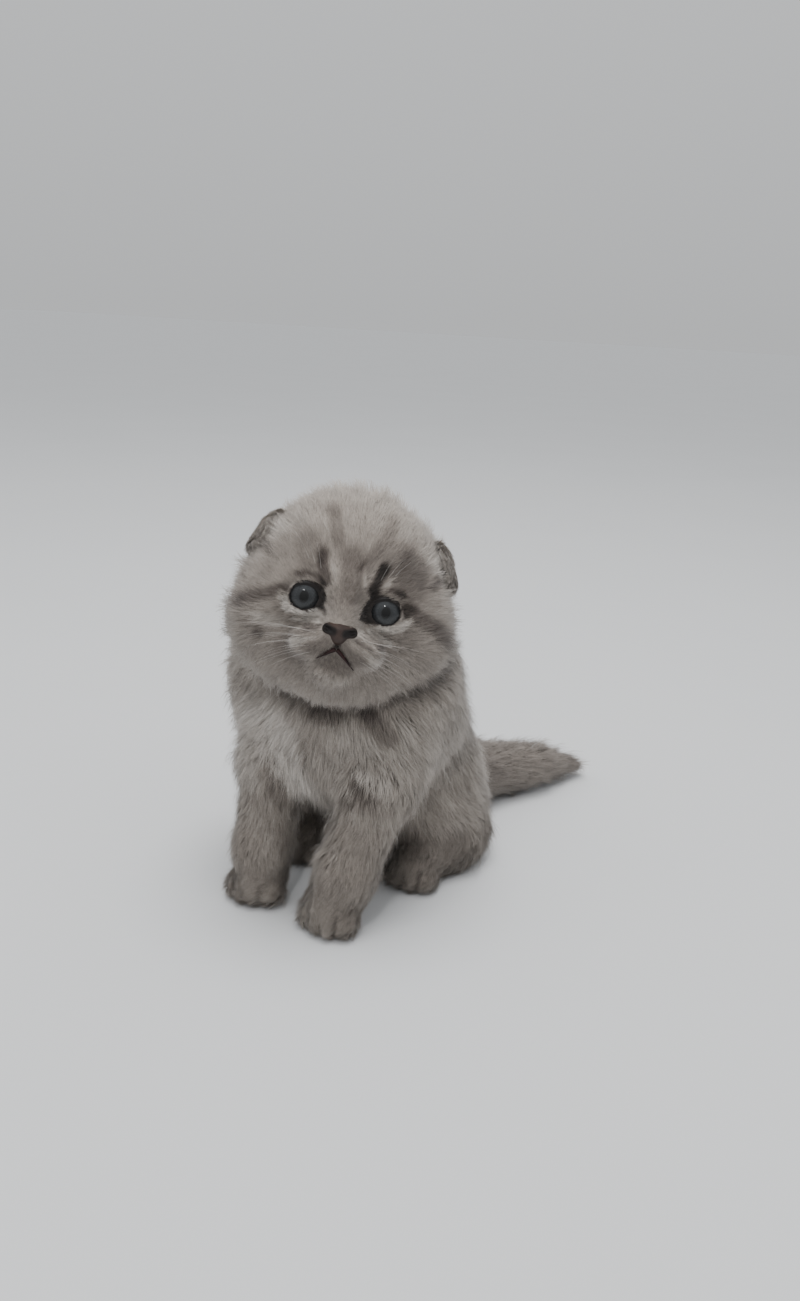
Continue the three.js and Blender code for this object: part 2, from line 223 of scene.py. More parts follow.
def head_shape(q):
    m = mirrored(q)
    d = ball(q, SKULL_CENTRE, (33, 33, 30.5))
    d = join(d, ball(m, (18.5, -3, -10), (20.6, 23, 21)), 14)
    d = join(d, ball(q, (0, -12, -22), (21, 18, 14.5)), 12)
    d = join(d, ball(m, (6.8, -29.5, -15.8), (8.5, 7.2, 6.2)), 5)
    d = join(d, taper(q, (0, -25, 2), (0, -32.6, -9), 8.5, 4.2), 8)
    d = join(d, ball(q, (0, -27.5, -23.5), (7.5, 6.5, 5.5)), 4)
    return carve(d, ball(m, (14, -37, -1.5), (8, 7, 7)), 5)


def trunk_shape(p):
    m = mirrored(p)
    d = ball(p, (-2, -14, 72), (38, 31, 42))
    d = join(d, ball(p, (-2, 9, 42), (34, 32, 42)), 22)
    d = join(d, taper(p, (0, -16, 90), HEAD_CENTRE + (0, 7, -4), 26, 27), 16)
    d = join(d, ball(p, (-33, -24, 77), (17, 17, 33)), 10)
    d = join(d, ball(p, (0, -34, 66), (25, 17, 28)), 14)
    d = join(d, taper(m, (19, -26, 76), (22.5, -37, 54), 15.5, 12.5), 12)
    return join(d, ball(m, (24, 8, 25), (17, 27, 25)), 12)


def part_distances(p):
    """Distance to the coat of the head, trunk, forelegs, hind feet and tail."""
    return {
        "head": head_shape(to_head(p)),
        "trunk": trunk_shape(p),
        "foreleg_left": limb(p, FORELEG_LEFT),
        "foreleg_right": limb(p, FORELEG_RIGHT),
        "hindleg": np.minimum(limb(p, HIND_FOOT_LEFT), limb(p, HIND_FOOT_RIGHT)),
        "tail": chain(p, TAIL_LINE, 0.6),
    }


def coat_shape(p, parts=None):
    """The outline of the whole coat, out to the tips of the fur."""
    d = parts or part_distances(p)
    whole = join(d["trunk"], forelegs_distance(d), 6)
    whole = join(whole, d["hindleg"], 5 + 11 * smooth(-12, 6, p[..., 1]))
    whole = join(whole, d["tail"], 8)
    return join(whole, d["head"], 4)


def smooth(low, high, x):
    t = np.clip((x - low) / (high - low), 0, 1)
    return t * t * (3 - 2 * t)


def coat_depth(p, parts):
    """How far the skin lies under the tips: least on the face and feet."""
    q = to_head(p)
    head = 0.9 + 3.2 * smooth(12, 46, away(q, (0, -38, -6)))
    legs = legs_distance(p, parts)
    leg_depth = 1.7 + 2.0 * smooth(12, 50, p[..., 2])
    depth = np.full(p.shape[:-1], 4.6, p.dtype)
    depth += (leg_depth - depth) * smooth(5, 0, legs)
    depth += (3.6 - depth) * smooth(4, 0, parts["tail"])
    return depth + (head - depth) * smooth(6, 0, parts["head"])


def legs_distance(p, parts):
    """Distance to the short-furred feet and forelegs; the haunches have the trunk's fur."""
    hind = parts["hindleg"] + 7 * smooth(-6, 10, p[..., 1])
    return np.minimum(forelegs_distance(parts), hind)


def forelegs_distance(parts):
    return np.minimum(parts["foreleg_left"], parts["foreleg_right"])


NOSTRIL = ((2.5, -37.3, -10.8), (4.9, -35.4, -9.9))
MOUTH_LINES = [
    [(0.3, -36.2, -16.4), (3.5, -35.4, -19.1), (6.9, -32.6, -22.2)],
    [(-0.3, -36.2, -16.4), (-3.0, -35.6, -18.3), (-6.0, -33.6, -20.6)],
]


def skin_shape(p):
    """The skin under the coat, with a lid round each eye and a groove for the mouth."""
    parts = part_distances(p)
    d = coat_shape(p, parts) + coat_depth(p, parts)
    q = to_head(p)
    m = mirrored(q)
    d = join(d, ball(m, EYE_CENTRE, (EYE_RADIUS + 0.75,) * 3), 2.5)
    wide, high = EYE_OPENING
    d = carve(d, ball(m, EYE_CENTRE + (0, -9, 0), (wide, 8, high)), 0.8)
    for line in MOUTH_LINES:
        groove = chain(q, [(*point, 0.9) for point in line], 1.0)
        d = carve(d, groove, 0.8)
    return carve(d, p[..., 2] - 0.5, 1.0)


def slope_of(shape, p, step):
    """The outward way at each point."""
    ways = []
    for axis in range(3):
        shift = np.zeros(3)
        shift[axis] = step
        ways.append(shape(p + shift) - shape(p - shift))
    out = np.stack(ways, -1)
    return out / np.maximum(np.linalg.norm(out, axis=-1, keepdims=True), 1e-9)


def surface_net(shape, low, high, step):
    """Vertices and quads of the closed surface where a shape's distance is 0."""
    axes = [np.arange(low[i], high[i] + step, step, dtype=np.float32) for i in range(3)]
    size = tuple(len(a) for a in axes)
    value = np.empty(size, np.float32)
    slab = np.empty((size[1], size[2], 3), np.float32)
    slab[..., 1] = axes[1][:, None]
    slab[..., 2] = axes[2][None, :]
    for i, x in enumerate(axes[0]):
        slab[..., 0] = x
        value[i] = shape(slab)
    inside = value < 0
    strides = np.array([size[1] * size[2], size[2], 1])
    cells, places, quads = [], [], []
    for axis in range(3):
        near = [slice(None)] * 3
        far = [slice(None)] * 3
        near[axis], far[axis] = slice(0, -1), slice(1, None)
        edge = np.argwhere(inside[tuple(near)] != inside[tuple(far)])
        a = value[tuple(edge.T)]
        beyond = edge.copy()
        beyond[:, axis] += 1
        b = value[tuple(beyond.T)]
        place = edge.astype(float)
        place[:, axis] += a / (a - b)
        others = [k for k in range(3) if k != axis]
        ring = []
        for back in ((0, 0), (1, 0), (1, 1), (0, 1)):
            cell = edge.copy()
            cell[:, others[0]] -= back[0]
            cell[:, others[1]] -= back[1]
            ring.append(cell @ strides)
            cells.append(ring[-1])
            places.append(place)
        ring = np.stack(ring, 1)
        forward = (a < 0) != (axis == 1)
        quads.append(np.where(forward[:, None], ring, ring[:, ::-1]))
    cells = np.concatenate(cells)
    places = np.concatenate(places)
    used, index = np.unique(cells, return_inverse=True)
    count = np.bincount(index)
    corners = np.stack([np.bincount(index, places[:, k]) / count for k in range(3)], 1)
    corners = corners * step + np.array([a[0] for a in axes])
    return corners, np.searchsorted(used, np.concatenate(quads))


def settle(shape, corners, step, rounds=2):
    """Brings the corners of a net onto its surface, and gives the outward ways."""
    for _ in range(rounds):
        out = slope_of(shape, corners, step)
        corners = corners - out * np.clip(shape(corners), -0.4, 0.4)[:, None]
    return corners, out


# Blender helpers


def linear(code):
    """An sRGB hex colour as linear red, green and blue."""
    parts = [int(code[i : i + 2], 16) / 255 for i in (1, 3, 5)]
    return tuple(c / 12.92 if c <= 0.04045 else ((c + 0.055) / 1.055) ** 2.4 for c in parts)


def add_node(tree, kind, links=(), **settings):
    """A shader node with its settings, its input values and its links."""
    made = tree.nodes.new("ShaderNode" + kind)
    inputs = settings.pop("inputs", {})
    for name, value in settings.items():
        setattr(made, name, value)
    for name, value in inputs.items():
        made.inputs[name].default_value = value
    for socket, source in dict(links).items():
        tree.links.new(source, made.inputs[socket])
    return made


def add_noise(tree, scale, **inputs):
    """Noise laid through a piece's own space."""
    place = add_node(tree, "TexCoord")
    links = {"Vector": place.outputs["Object"]}
    return add_node(tree, "TexNoise", links, inputs={"Scale": scale, **inputs})


def add_range(tree, value, low, high, from_low=0.3, from_high=0.7):
    """A value carried from one range, at first the usual one of noise, to another."""
    ends = {"From Min": from_low, "From Max": from_high, "To Min": low, "To Max": high}
    return add_node(tree, "MapRange", {"Value": value}, inputs=ends).outputs["Result"]


def add_scale(tree, colour, factor):
    links = {0: colour, "Scale": factor}
    return add_node(tree, "VectorMath", links, operation="SCALE").outputs[0]


def add_ramp(tree, noise, colours, ends=(0.0, 1.0)):
    """The colour between two linear ones that a noise picks."""
    ramp = add_node(tree, "ValToRGB", {"Fac": noise.outputs["Fac"]})
    for i in (0, 1):
        stop = ramp.color_ramp.elements[i]
        stop.position, stop.color = ends[i], (*colours[i], 1)
    return ramp.outputs["Color"]


def new_material(name):
    material = bpy.data.materials.new(name)
    material.use_nodes = True
    material.node_tree.nodes.clear()
    return material, material.node_tree


def finish_material(tree, colour, values, bump=None):
    """Ends a material in one shader with its colour, its constants and its bump."""
    shader = add_node(tree, "BsdfPrincipled", {"Base Color": colour}, inputs=values)
    if bump is not None:
        tree.links.new(bump.outputs["Normal"], shader.inputs["Normal"])
    add_node(tree, "OutputMaterial", {"Surface": shader.outputs[0]})


def mottled_material(name, scale, colours, values, ends=(0.0, 1.0), detail=2.0):
    """A material whose colour wanders between two."""
    material, tree = new_material(name)
    noise = add_noise(tree, scale, Detail=detail)
    finish_material(tree, add_ramp(tree, noise, colours, ends), values)
    return material


def new_piece(name, corners, faces, material, colours=None, ways=None):
    """A mesh piece from corners in millimetres, riding on the kitten's one body.

    faces is one array, or a tuple of arrays for faces of different counts of corners.
    """
    mesh = bpy.data.meshes.new(name)
    groups = faces if isinstance(faces, tuple) else (faces,)
    loops = np.concatenate([group.astype(np.int32).ravel() for group in groups])
    sizes = np.concatenate([np.full(len(group), group.shape[1], np.int32) for group in groups])
    mesh.vertices.add(len(corners))
    mesh.vertices.foreach_set("co", to_frame(corners).astype(np.float32).ravel())
    mesh.loops.add(len(loops))
    mesh.loops.foreach_set("vertex_index", loops)
    mesh.polygons.add(len(sizes))
    mesh.polygons.foreach_set("loop_start", (np.cumsum(sizes) - sizes).astype(np.int32))
    mesh.update(calc_edges=True)
    mesh.shade_smooth()
    if colours is not None:
        layer = mesh.color_attributes.new("tone", "FLOAT_COLOR", "POINT")
        rgba = np.ones((len(corners), 4), np.float32)
        rgba[:, :3] = colours
        layer.data.foreach_set("color", rgba.ravel())
    if ways is not None:
        mesh.normals_split_custom_set_from_vertices(ways.astype(np.float32))
    mesh.materials.append(material)
    piece = bpy.data.objects.new(name, mesh)
    bpy.context.scene.collection.objects.link(piece)
    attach(piece, "root")
    return piece


# Markings


def line_distance(q, points):
    return np.minimum.reduce([taper(q, a, b, 0.0, 0.0) for a, b in zip(points[:-1], points[1:])])


def stroke(q, points, radius, soft):
    """1 along a line of points, falling to 0 beyond its radius."""
    return 1 - smooth(radius, radius + soft, line_distance(q, points))


# Markings of the head, and some painted shade and shadow, on a globe round it: points, radius,
# softness, how much darker or paler
HEAD_MARKS = {
    "brow bars": [
        ([(-10.7, -27.4, 14.6), (-10.1, -28.8, 10.3), (-7.8, -31.1, 5.7)], 1.0, 2.4, -0.9),
        ([(11.1, -27.6, 13.6), (8.3, -30.8, 5)], 0.9, 2.4, -1.15),
    ],
    "stripes of the forehead": [
        ([(-9.8, -19, 28.9), (-6.2, -27.2, 18.9)], 0.9, 2.4, -0.55),
        (
            [(10.8, -18.4, 29), (9.9, -23.7, 23.4), (6.7, -27.8, 17.1), (4.3, -30.4, 11.8)],
            1.0, 2.6, -0.45,
        ),
        ([(-0.5, -29.5, 15), (1.7, -33.8, 3.5)], 2.4, 4.2, -0.55),
        ([(-6.7, -29.8, 12), (-5.2, -32.3, 5.5)], 0.4, 1.4, 0.2),
        ([(4.3, -30.7, 11.2), (5.3, -32.2, 6)], 0.4, 1.1, 0.5),
        ([(14.5, -27, 10.3), (11.9, -28.9, 6.1)], 0.6, 1.1, 0.6),
    ],
    "pale bridge and rims under the eyes": [
        (
            [(-3.6, -33.4, -0.8), (-1.8, -35.4, -4.3), (1.9, -35.3, -4.2), (3.4, -33.7, -1.6)],
            1.3, 2.6, -0.15,
        ),
        (
            [(-20.1, -27, -2), (-17.5, -27.6, -6.4), (-12.1, -28.2, -6.8), (-7.6, -31.1, -6.0)],
            0.5, 1.4, 1.0,
        ),
        (
            [(10.8, -28.5, -6.2), (15.1, -27.9, -7.0), (19.2, -27.4, -5.0), (20.6, -27, -2.4)],
            0.5, 1.5, 0.9,
        ),
    ],
    "dark inner corners of the eyes": [
        ([(-8.3, -29.5, -2.0), (-6.8, -32, -5.6)], 0.6, 1.1, -1.1),
        ([(7.0, -31, -1.5), (6.6, -31.3, -5), (9.1, -29.2, -5.8)], 0.5, 1.1, -1.2),
    ],
    "lines back from the eyes": [
        ([(-19.3, -27, -0.6), (-27.7, -23.6, -3.6), (-36.7, -14, -7.4)], 0.9, 2.6, -0.8),
        (
            [(19.2, -27, 0.1), (25.4, -24.6, -1), (31.7, -20.3, -3.3), (38, -10.7, -7.6)],
            1.0, 3.2, -0.75,
        ),
        ([(-16, -27, 5.5), (-11, -27.5, 6.2), (-8.2, -29, 3)], 0.5, 1.4, -0.7),
        ([(8.2, -29, 3), (12, -27.5, 5.8), (17, -27, 5.2)], 0.5, 1.4, -0.6),
    ],
    "whisker pads": [
        ([(-15.8, -28.2, -9.6), (-8.2, -31.7, -8.7)], 0.5, 0.9, 0.8),
        ([(-12.4, -31.7, -11.3), (-7.7, -35.1, -11.1)], 0.4, 0.8, -0.7),
        ([(-15.2, -31.2, -17.4), (-12, -35.2, -15.6), (-6.7, -36.3, -12.5)], 0.8, 1.3, 0.6),
        ([(-12.2, -34.9, -14), (-6.5, -36.7, -12.4)], 0.3, 0.7, -0.5),
        ([(10, -29.9, -8.6), (17.9, -27.7, -11.9)], 0.6, 1.0, 0.8),
        ([(5.2, -35.8, -9.8), (9.5, -34.2, -11.3), (13.2, -33.3, -13.3)], 0.4, 1.0, 0.65),
        ([(9.2, -31.8, -10), (15.9, -30, -14.3)], 0.3, 1.1, -0.6),
        ([(6.5, -36.5, -12.6), (11.4, -35.4, -14.7)], 0.2, 1.0, -0.5),
        ([(4.7, -37, -14.2), (9.8, -36.3, -16.4), (16, -28.1, -19.7)], 0.5, 1.2, 0.5),
    ],
    "cheeks, chin and jaw": [
        ([(19.6, -27, -13.7), (23.8, -25.9, -8.8)], 1.6, 3.2, -0.2),
        ([(-29.2, -22.8, -11.7), (-21.5, -26.5, -11.7)], 1.1, 2.0, 0.4),
        ([(-27.8, -22.4, -16.8)] * 2, 1.0, 2.2, -0.7),
        ([(-12, -29, -22), (-18, -25, -20)], 1.5, 3.0, -0.3),
        # painted shadow under the lower lip
        ([(-3, -34.6, -21.5), (4, -34, -23)], 1.8, 3.0, -0.45),
        ([(0.3, -36.2, -16.4), (3.5, -35.4, -19.1), (5.2, -34, -20.6)], 0.2, 1.0, -0.45),
        ([(-0.3, -36.2, -16.4), (-3, -35.6, -18.3), (-4.6, -34.6, -19.5)], 0.2, 1.0, -0.45),
        ([(0, -37.5, -13.5), (0, -36.5, -16.4)], 0.2, 1.0, -0.6),
        ([(4, -37, -15.5), (8, -35, -18.5)], 1.4, 3.0, -0.5),
        ([(-4, -37, -15), (-8, -35, -17)], 1.2, 2.4, -0.3),
        ([(-3, -33, -26.5), (4, -32, -27.5)], 1.3, 2.0, 0.35),
        (
            [
                (-24.3, -17.3, -27.4), (-9.2, -21.9, -32.7), (8.1, -20.2, -33.9),
                (28.2, -15.4, -29.4),
            ],
            2.0, 4.5, 0.08,
        ),
    ],
    "temples and ear folds": [
        # painted shade on the temples and the sides of the brow, deepest on the head's left
        ([(22, -19.8, 17.2), (20.2, -25.1, 7.4)], 3.0, 7.0, -0.65),
        ([(14, -27, 15), (16, -24.5, 20)], 2.0, 5.0, -0.4),
        ([(-15, -27, 12), (-17, -24.5, 18)], 2.0, 5.0, -0.35),
        ([(-22.2, -22.1, 12.5), (-25, -20.8, 6.4)], 2.0, 5.0, -0.15),
        # painted shadow under the folded tip of the left ear
        ([(30.4, -11.8, 13.5), (28.9, -16.9, 10.3)], 0.9, 1.8, -1.0),
        ([(22.1, -16.8, 21.4), (26.8, -13, 18.7), (30.4, -9.5, 15.6)], 0.9, 2.0, 0.7),
        # painted shadow under the folded tip of the right ear
        ([(-30.4, -11.8, 13.5), (-28.9, -15, 11.3)], 0.8, 1.8, -0.8),
        ([(-24, -14.8, 20), (-28.5, -12, 16.8)], 0.8, 2.0, 0.6),
    ],
}


def on_globe(q):
    """Carries places on the head out to one globe, so a marking goes straight through the coat."""
    middle = np.array((0.0, -2.0, -2.0))
    way = np.asarray(q, float) - middle
    return middle + GLOBE_RADIUS * way / np.maximum(np.linalg.norm(way, axis=-1, keepdims=True), 1e-6)


def head_tone(q):
    """How much paler or darker than its mean the head's coat is."""
    globe = on_globe(q)
    # Paler towards the crown, painted light from above; paler towards the back of the head
    tone = -0.1 + 0.3 * smooth(14, 31, q[..., 2]) + 0.25 * smooth(-4, 16, q[..., 1])
    m = mirrored(q)
    wide, high = EYE_OPENING
    across, upward = m[..., 0] - EYE_CENTRE[0] + 0.8, q[..., 2] - EYE_CENTRE[2] - 0.5
    lid = np.hypot(across / (wide + 0.4), upward / (high + 0.6))
    tone -= 1.6 * smooth(1.14, 1.0, lid) * (q[..., 1] < -18)
    for marks in HEAD_MARKS.values():
        for points, radius, soft, much in marks:
            tone = tone + much * stroke(globe, on_globe(points), radius, soft)
    return tone


# Markings of the body, and some painted light and shade, in the kitten's frame: points, radius,
# softness, how much darker or paler
BIB_LINE = [(-16, -51, 68), (-9, -51, 56), (-5, -48, 42)]
BODY_MARKS = {
    "bib, belly and right shoulder": [
        (BIB_LINE, 3.5, 5.0, 0.8),
        # paler belly between the legs: painted light lifting the shade there
        ([(-2, -20, 30), (0, -8, 14)], 8.0, 12.0, 0.35),
        # paler right shoulder: painted light on the side turned to the light
        ([(-29.9, -48.1, 61.8), (-24.0, -55.3, 51.2)], 5.0, 8.0, 0.45),
    ],
    "partings of the bib": [
        # painted shade in the partings of the bib's fur
        ([(-3.1, -51.9, 62.7), (-3.3, -48.9, 50)], 0.6, 1.8, -0.8),
        ([(-10, -52, 60), (-9, -50, 52)], 0.4, 1.2, -0.5),
    ],
    "folds over the elbows": [
        # painted shade in the creases of the fur over the elbows and where the right foreleg meets
        # the chest
        ([(18.8, -54.3, 53.4), (22.7, -55, 49.8), (27.4, -53.8, 47.9)], 0.5, 1.8, -0.95),
        ([(8, -50, 42), (16.2, -55.4, 46.8), (22.1, -56, 46.3), (31.2, -51, 44)], 0.5, 2.4, -0.5),
        ([(10.3, -51.8, 51)] * 2, 0.6, 1.6, -0.8),
        ([(-17, -55.3, 49.1), (-10.5, -53.2, 39.2)], 1.6, 3.0, -0.7),
        ([(20, -55, 57), (29, -51, 53)], 1.4, 2.5, 0.35),
    ],
    "shade under the chin": [
        ([(19.1, -48.1, 76.2), (27.1, -45.7, 69.8)], 1.5, 4.0, -0.8),
        ([(0.5, -52.2, 74.5), (9.1, -51.1, 74.5)], 1.0, 3.5, -0.6),
    ],
}


def body_tone(p, parts):
    """How much paler or darker than its mean the body's coat is."""
    tone = 0.08 + 0.15 * smooth(-12, -35, p[..., 1]) - 0.18 * smooth(70, 20, p[..., 2])
    forelegs = smooth(4, -1, forelegs_distance(parts))
    tone -= forelegs * (0.16 * smooth(55, 10, p[..., 2]) + 0.04)
    tone -= 0.35 * smooth(5, 0, parts["hindleg"]) * smooth(14, -10, p[..., 1])
    tail = smooth(4, 0, parts["tail"])
    tone -= tail * (0.32 + 0.4 * smooth(8, 3, p[..., 2]))
    for marks in BODY_MARKS.values():
        for points, radius, soft, much in marks:
            tone = tone + much * stroke(p, points, radius, soft)
    # Painted shade in the gaps between the toes
    for x, y, _, r in PAWS:
        for side in (-1, 0, 1):
            gap = x + side * r * TOE_PITCH
            line = [(gap, y - r * 0.8, 9.5), (gap, y - r * 0.95, 2)]
            tone = tone - 0.5 * stroke(p, line, 0.2, 1.3)
    return tone


def wander(p, size, seed):
    """Smooth noise from -1 to 1 with features of about the given size."""
    rng = np.random.default_rng(seed)
    total = np.zeros(p.shape[:-1])
    for _ in range(6):
        way = rng.normal(size=3)
        way *= 2 * math.pi / (size * 2 * np.linalg.norm(way)) * rng.uniform(0.6, 1.5)
        total += np.sin(p @ way + rng.uniform(0, 6.28))
    return total / 3.0


def tone_colour(tone):
    """Linear colour of the coat from its tone: -1 dark, 0 mean, 1 pale, nearly black at -1.25."""
    looks = bpy.context.scene.kitten_coat
    mean, dark, pale = (np.array(getattr(looks, name)) for name in ("mean", "dark", "pale"))
    t = np.clip(tone, -1.25, 1)[..., None]
    deep = 1 - 3 * np.maximum(-1 - t, 0)
    shaded = deep * (mean + (dark - mean) * np.minimum(-t, 1))
    return np.where(t < 0, shaded, mean + (pale - mean) * t)


def coat_colour(p, jitter=0.0):
    """Linear colour of the coat at each point, the same for the skin and the fur over it."""
    parts = part_distances(p)
    on_head = smooth(2.5, -1.5, parts["head"] - np.minimum(parts["trunk"], 6))
    tone = on_head * head_tone(to_head(p)) + (1 - on_head) * body_tone(p, parts)
    # Painted shade on the neck and chest under the jaw, where the head overhangs them
    painted_shade_under_jaw = (1 - on_head) * smooth(10, 1, parts["head"]) * smooth(-5, -25, p[..., 1])
    tone -= 0.85 * painted_shade_under_jaw
    return tone_colour(tone + 0.08 * wander(p, 6, 3) + 0.07 * wander(p, 22, 4) + jitter)


def fur_material(name, dim=1.0):
    # Plush kitten fur, a dense undercoat with soft guard hairs: matt, with a faint velvety rim.
    # A blade seen from its back is painted up to 1.6 times paler: painted light for light through the
    # hair
    material, tree = new_material(name)
    tone = add_node(tree, "VertexColor", layer_name="tone")
    flecks = add_noise(tree, 900.0, Detail=3.0, Roughness=0.6)
    spread = add_range(tree, flecks.outputs["Fac"], 0.86 * dim, 1.12 * dim)
    # painted light: a face seen from its back gets up to 1.6 times its colour
    seen = add_node(tree, "NewGeometry")
    through = add_range(tree, seen.outputs["Backfacing"], 1.0, 1.6, 0.0, 1.0)
    flecks_and_painted_backlight = add_node(tree, "Math", {0: spread, 1: through}, operation="MULTIPLY")
    values = {
        "Roughness": 0.82, "Specular IOR Level": 0.22, "Sheen Weight": 0.25, "Sheen Roughness": 0.5,
    }
    finish_material(tree, add_scale(tree, tone.outputs["Color"], flecks_and_painted_backlight.outputs[0]), values)
    return material


# Coat


def field(*ways):
    return np.stack(np.broadcast_arrays(*ways), -1)


def lie_of(p, out, parts):
    """The way the fur lies: back from the nose, down the body, along limbs and tail."""
    q = to_head(p)
    fan = q - NOSE_TIP
    fan /= np.linalg.norm(fan, axis=-1, keepdims=True)
    fan[..., 2] -= 0.9 * smooth(-5, 30, q[..., 1]) + 0.35 * smooth(-10, -30, q[..., 2])
    low = smooth(22, 10, p[..., 2])
    fields = [
        (parts["head"], fan @ HEAD_AXES.T),
        (parts["trunk"], field(0.012 * p[..., 0], 0.3, -1.0)),
        (parts["hindleg"], np.array((0, -1.0, -0.25))),
        (forelegs_distance(parts), field(0.0, -0.45 - 0.6 * low, -1.0 + 0.6 * low)),
        (parts["tail"], np.array((0.48, 0.88, -0.16))),
    ]
    way = np.zeros_like(p)
    for d, lie in fields:
        way += np.exp(-np.clip(d, -4, 30) / 2.2)[..., None] * lie
    swirl = np.stack([wander(p, 11, 20 + k) for k in range(3)], -1)
    loose = 0.28 - 0.16 * smooth(3, 0, parts["tail"])[..., None]
    way = way / np.linalg.norm(way, axis=-1, keepdims=True) + loose * swirl
    way -= out * (way * out).sum(-1, keepdims=True)
    return way / np.maximum(np.linalg.norm(way, axis=-1, keepdims=True), 1e-6)


def fur_sizes(p, parts):
    """Length and density of the fur: short and close on the face and feet."""
    face = away(to_head(p), NOSE_TIP)
    head_length = 1.7 + 8.3 * smooth(8, 48, face)
    head_count = 15 - 8.5 * smooth(18, 48, face)
    on_head = smooth(3, -1, parts["head"] - np.minimum(parts["trunk"], 6))
    on_leg = smooth(4, 0, legs_distance(p, parts))
    length = 9.0 + 2.0 * stroke(p, [(-17, -50, 70), (-6, -48, 40)], 8, 8)
    length += on_leg * (4.3 + 3.5 * smooth(12, 50, p[..., 2]) - length)
    length += 3.5 * tail_end(p, parts)
    count = 5.4 + 4.0 * on_leg * smooth(40, 15, p[..., 2])
    length += on_head * (head_length - length)
    count += on_head * (head_count - count)
    return length, count


def tail_end(p, parts):
    return smooth(3, 0, parts["tail"]) * smooth(90, 110, p[..., 1])


def bare(p):
    """True where no fur grows: inside the lids, on the nose and lips, and under the paws."""
    q = to_head(p)
    m = mirrored(q)
    wide, high = EYE_OPENING
    front = q[..., 1] < -20
    across, upward = m[..., 0] - EYE_CENTRE[0], q[..., 2] - EYE_CENTRE[2]
    eye = np.hypot(across / (wide + 0.4), upward / (high + 0.4))
    nose = nose_shape(q) < 0.1
    lips = np.minimum(*[line_distance(q, line) for line in MOUTH_LINES]) < 0.75
    return (front & (eye < 1)) | nose | lips | (p[..., 2] < 0.9)


def roots_on(corners, quads, density, each, rng):
    """Places of tufts spread over a surface by its area and the density of the blades."""
    a, b, c, d = (corners[quads[:, k]] for k in range(4))
    area = 0.5 * np.linalg.norm(np.cross(c - a, d - b), axis=1)
    mass = np.cumsum(area * density(0.25 * (a + b + c + d)))
    count = int(mass[-1] / each)
    place = (np.arange(count) + rng.random(count)) / count * mass[-1]
    pick = np.minimum(np.searchsorted(mass, place), len(quads) - 1)
    u, v = rng.random((2, count, 1))
    a, b, c, d = (side[pick] for side in (a, b, c, d))
    return (1 - u) * ((1 - v) * a + v * d) + u * ((1 - v) * b + v * c), pick


def blades(roots, out, lie, length, height, each, width, rng, spread, gather):
    """Blades of fur in tufts: five corners each, root pair, middle pair and tip."""
    n = len(roots)
    side = np.cross(out, lie)

    def per_blade(values):
        return np.repeat(values, each, axis=0)

    far = np.sqrt(rng.random(n * each)) * spread
    turn = rng.random(n * each) * 2 * math.pi
    out, lie, side = per_blade(out), per_blade(lie), per_blade(side)
    offset = (far * np.cos(turn))[:, None] * lie + (far * np.sin(turn))[:, None] * side
    tuft_bend = per_blade(rng.normal(size=(n, 1)) * 0.16)
    way = lie + side * (tuft_bend + rng.normal(size=(n * each, 1)) * 0.16)
    way /= np.linalg.norm(way, axis=1, keepdims=True)
    run = (per_blade(length) * rng.uniform(0.72, 1.1, n * each))[:, None]
    rise = per_blade(height * rng.uniform(0.85, 1.15, n)) * rng.uniform(0.8, 1.25, n * each)
    rise = rise[:, None]
    base = per_blade(roots) + offset - ROOT_SINK * out
    middle = base + way * run * 0.42 + out * rise * 0.72 - gather * 0.45 * offset
    tip = base + way * run * 0.93 + out * (rise - run**2 / DROOP) - gather * offset
    roll = rng.normal(size=(n * each, 1)) * 0.5
    flat = np.cross(way, out) + out * roll
    flat *= per_blade(width)[:, None] / np.linalg.norm(flat, axis=1, keepdims=True)
    corners = np.stack([base - flat, base + flat, middle - 0.8 * flat, middle + 0.8 * flat, tip], 1)
    ways = out + rng.normal(size=out.shape) * 0.15 + lie * 0.1
    return corners, np.repeat(ways[:, None, :], 5, axis=1)


BLADE_FACES = np.array([(0, 1, 3), (0, 3, 2), (2, 3, 4)])
# Painted shade deep in the coat: each blade darker at its root pair, paler at its tip
PAINTED_ROOT_SHADE = np.array([0.68, 0.68, 0.93, 0.93, 1.08])
MOST_FACES = 198000


def unwrap(p, middle, axes):
    """A place on a map of the skin round a middle, from 0 to 1 both ways."""
    q = (p - middle) @ axes
    u = np.arctan2(q[:, 0], -q[:, 1]) / (2 * math.pi) + 0.5
    v = np.arccos(np.clip(q[:, 2] / np.linalg.norm(q, axis=1), -1, 1)) / math.pi
    return np.stack([u, v], 1)


def coat_pieces(name, corners, ways, colours, places, material):
    """Splits the blades of one region into pieces the export can hold, and adds their maps."""
    each = MOST_FACES // len(BLADE_FACES)
    total = len(corners)
    parts = max(1, math.ceil(total / each))
    order = np.argsort(places[:, 0] if parts > 1 else np.arange(total), kind="stable")
    for i, chosen in enumerate(np.array_split(order, parts)):
        n = len(chosen)
        faces = (np.arange(n)[:, None, None] * 5 + BLADE_FACES).reshape(-1, 3)
        unit = ways[chosen] / np.linalg.norm(ways[chosen], axis=-1, keepdims=True)
        piece = new_piece(
            f"{name}_{i + 1}", corners[chosen].reshape(-1, 3), faces, material,
            colours[chosen].reshape(-1, 3), unit.reshape(-1, 3),
        )
        layer = piece.data.uv_layers.new(name="OFBake")
        patch = np.array([(0, 0), (1, 0), (0, 0.5), (1, 0.5), (0.5, 1)]) * 0.003
        spots = places[chosen][:, None, :] * 0.99 + patch
        layer.data.foreach_set("uv", spots[:, BLADE_FACES.ravel()].astype(np.float32).ravel())


SKIN = {}


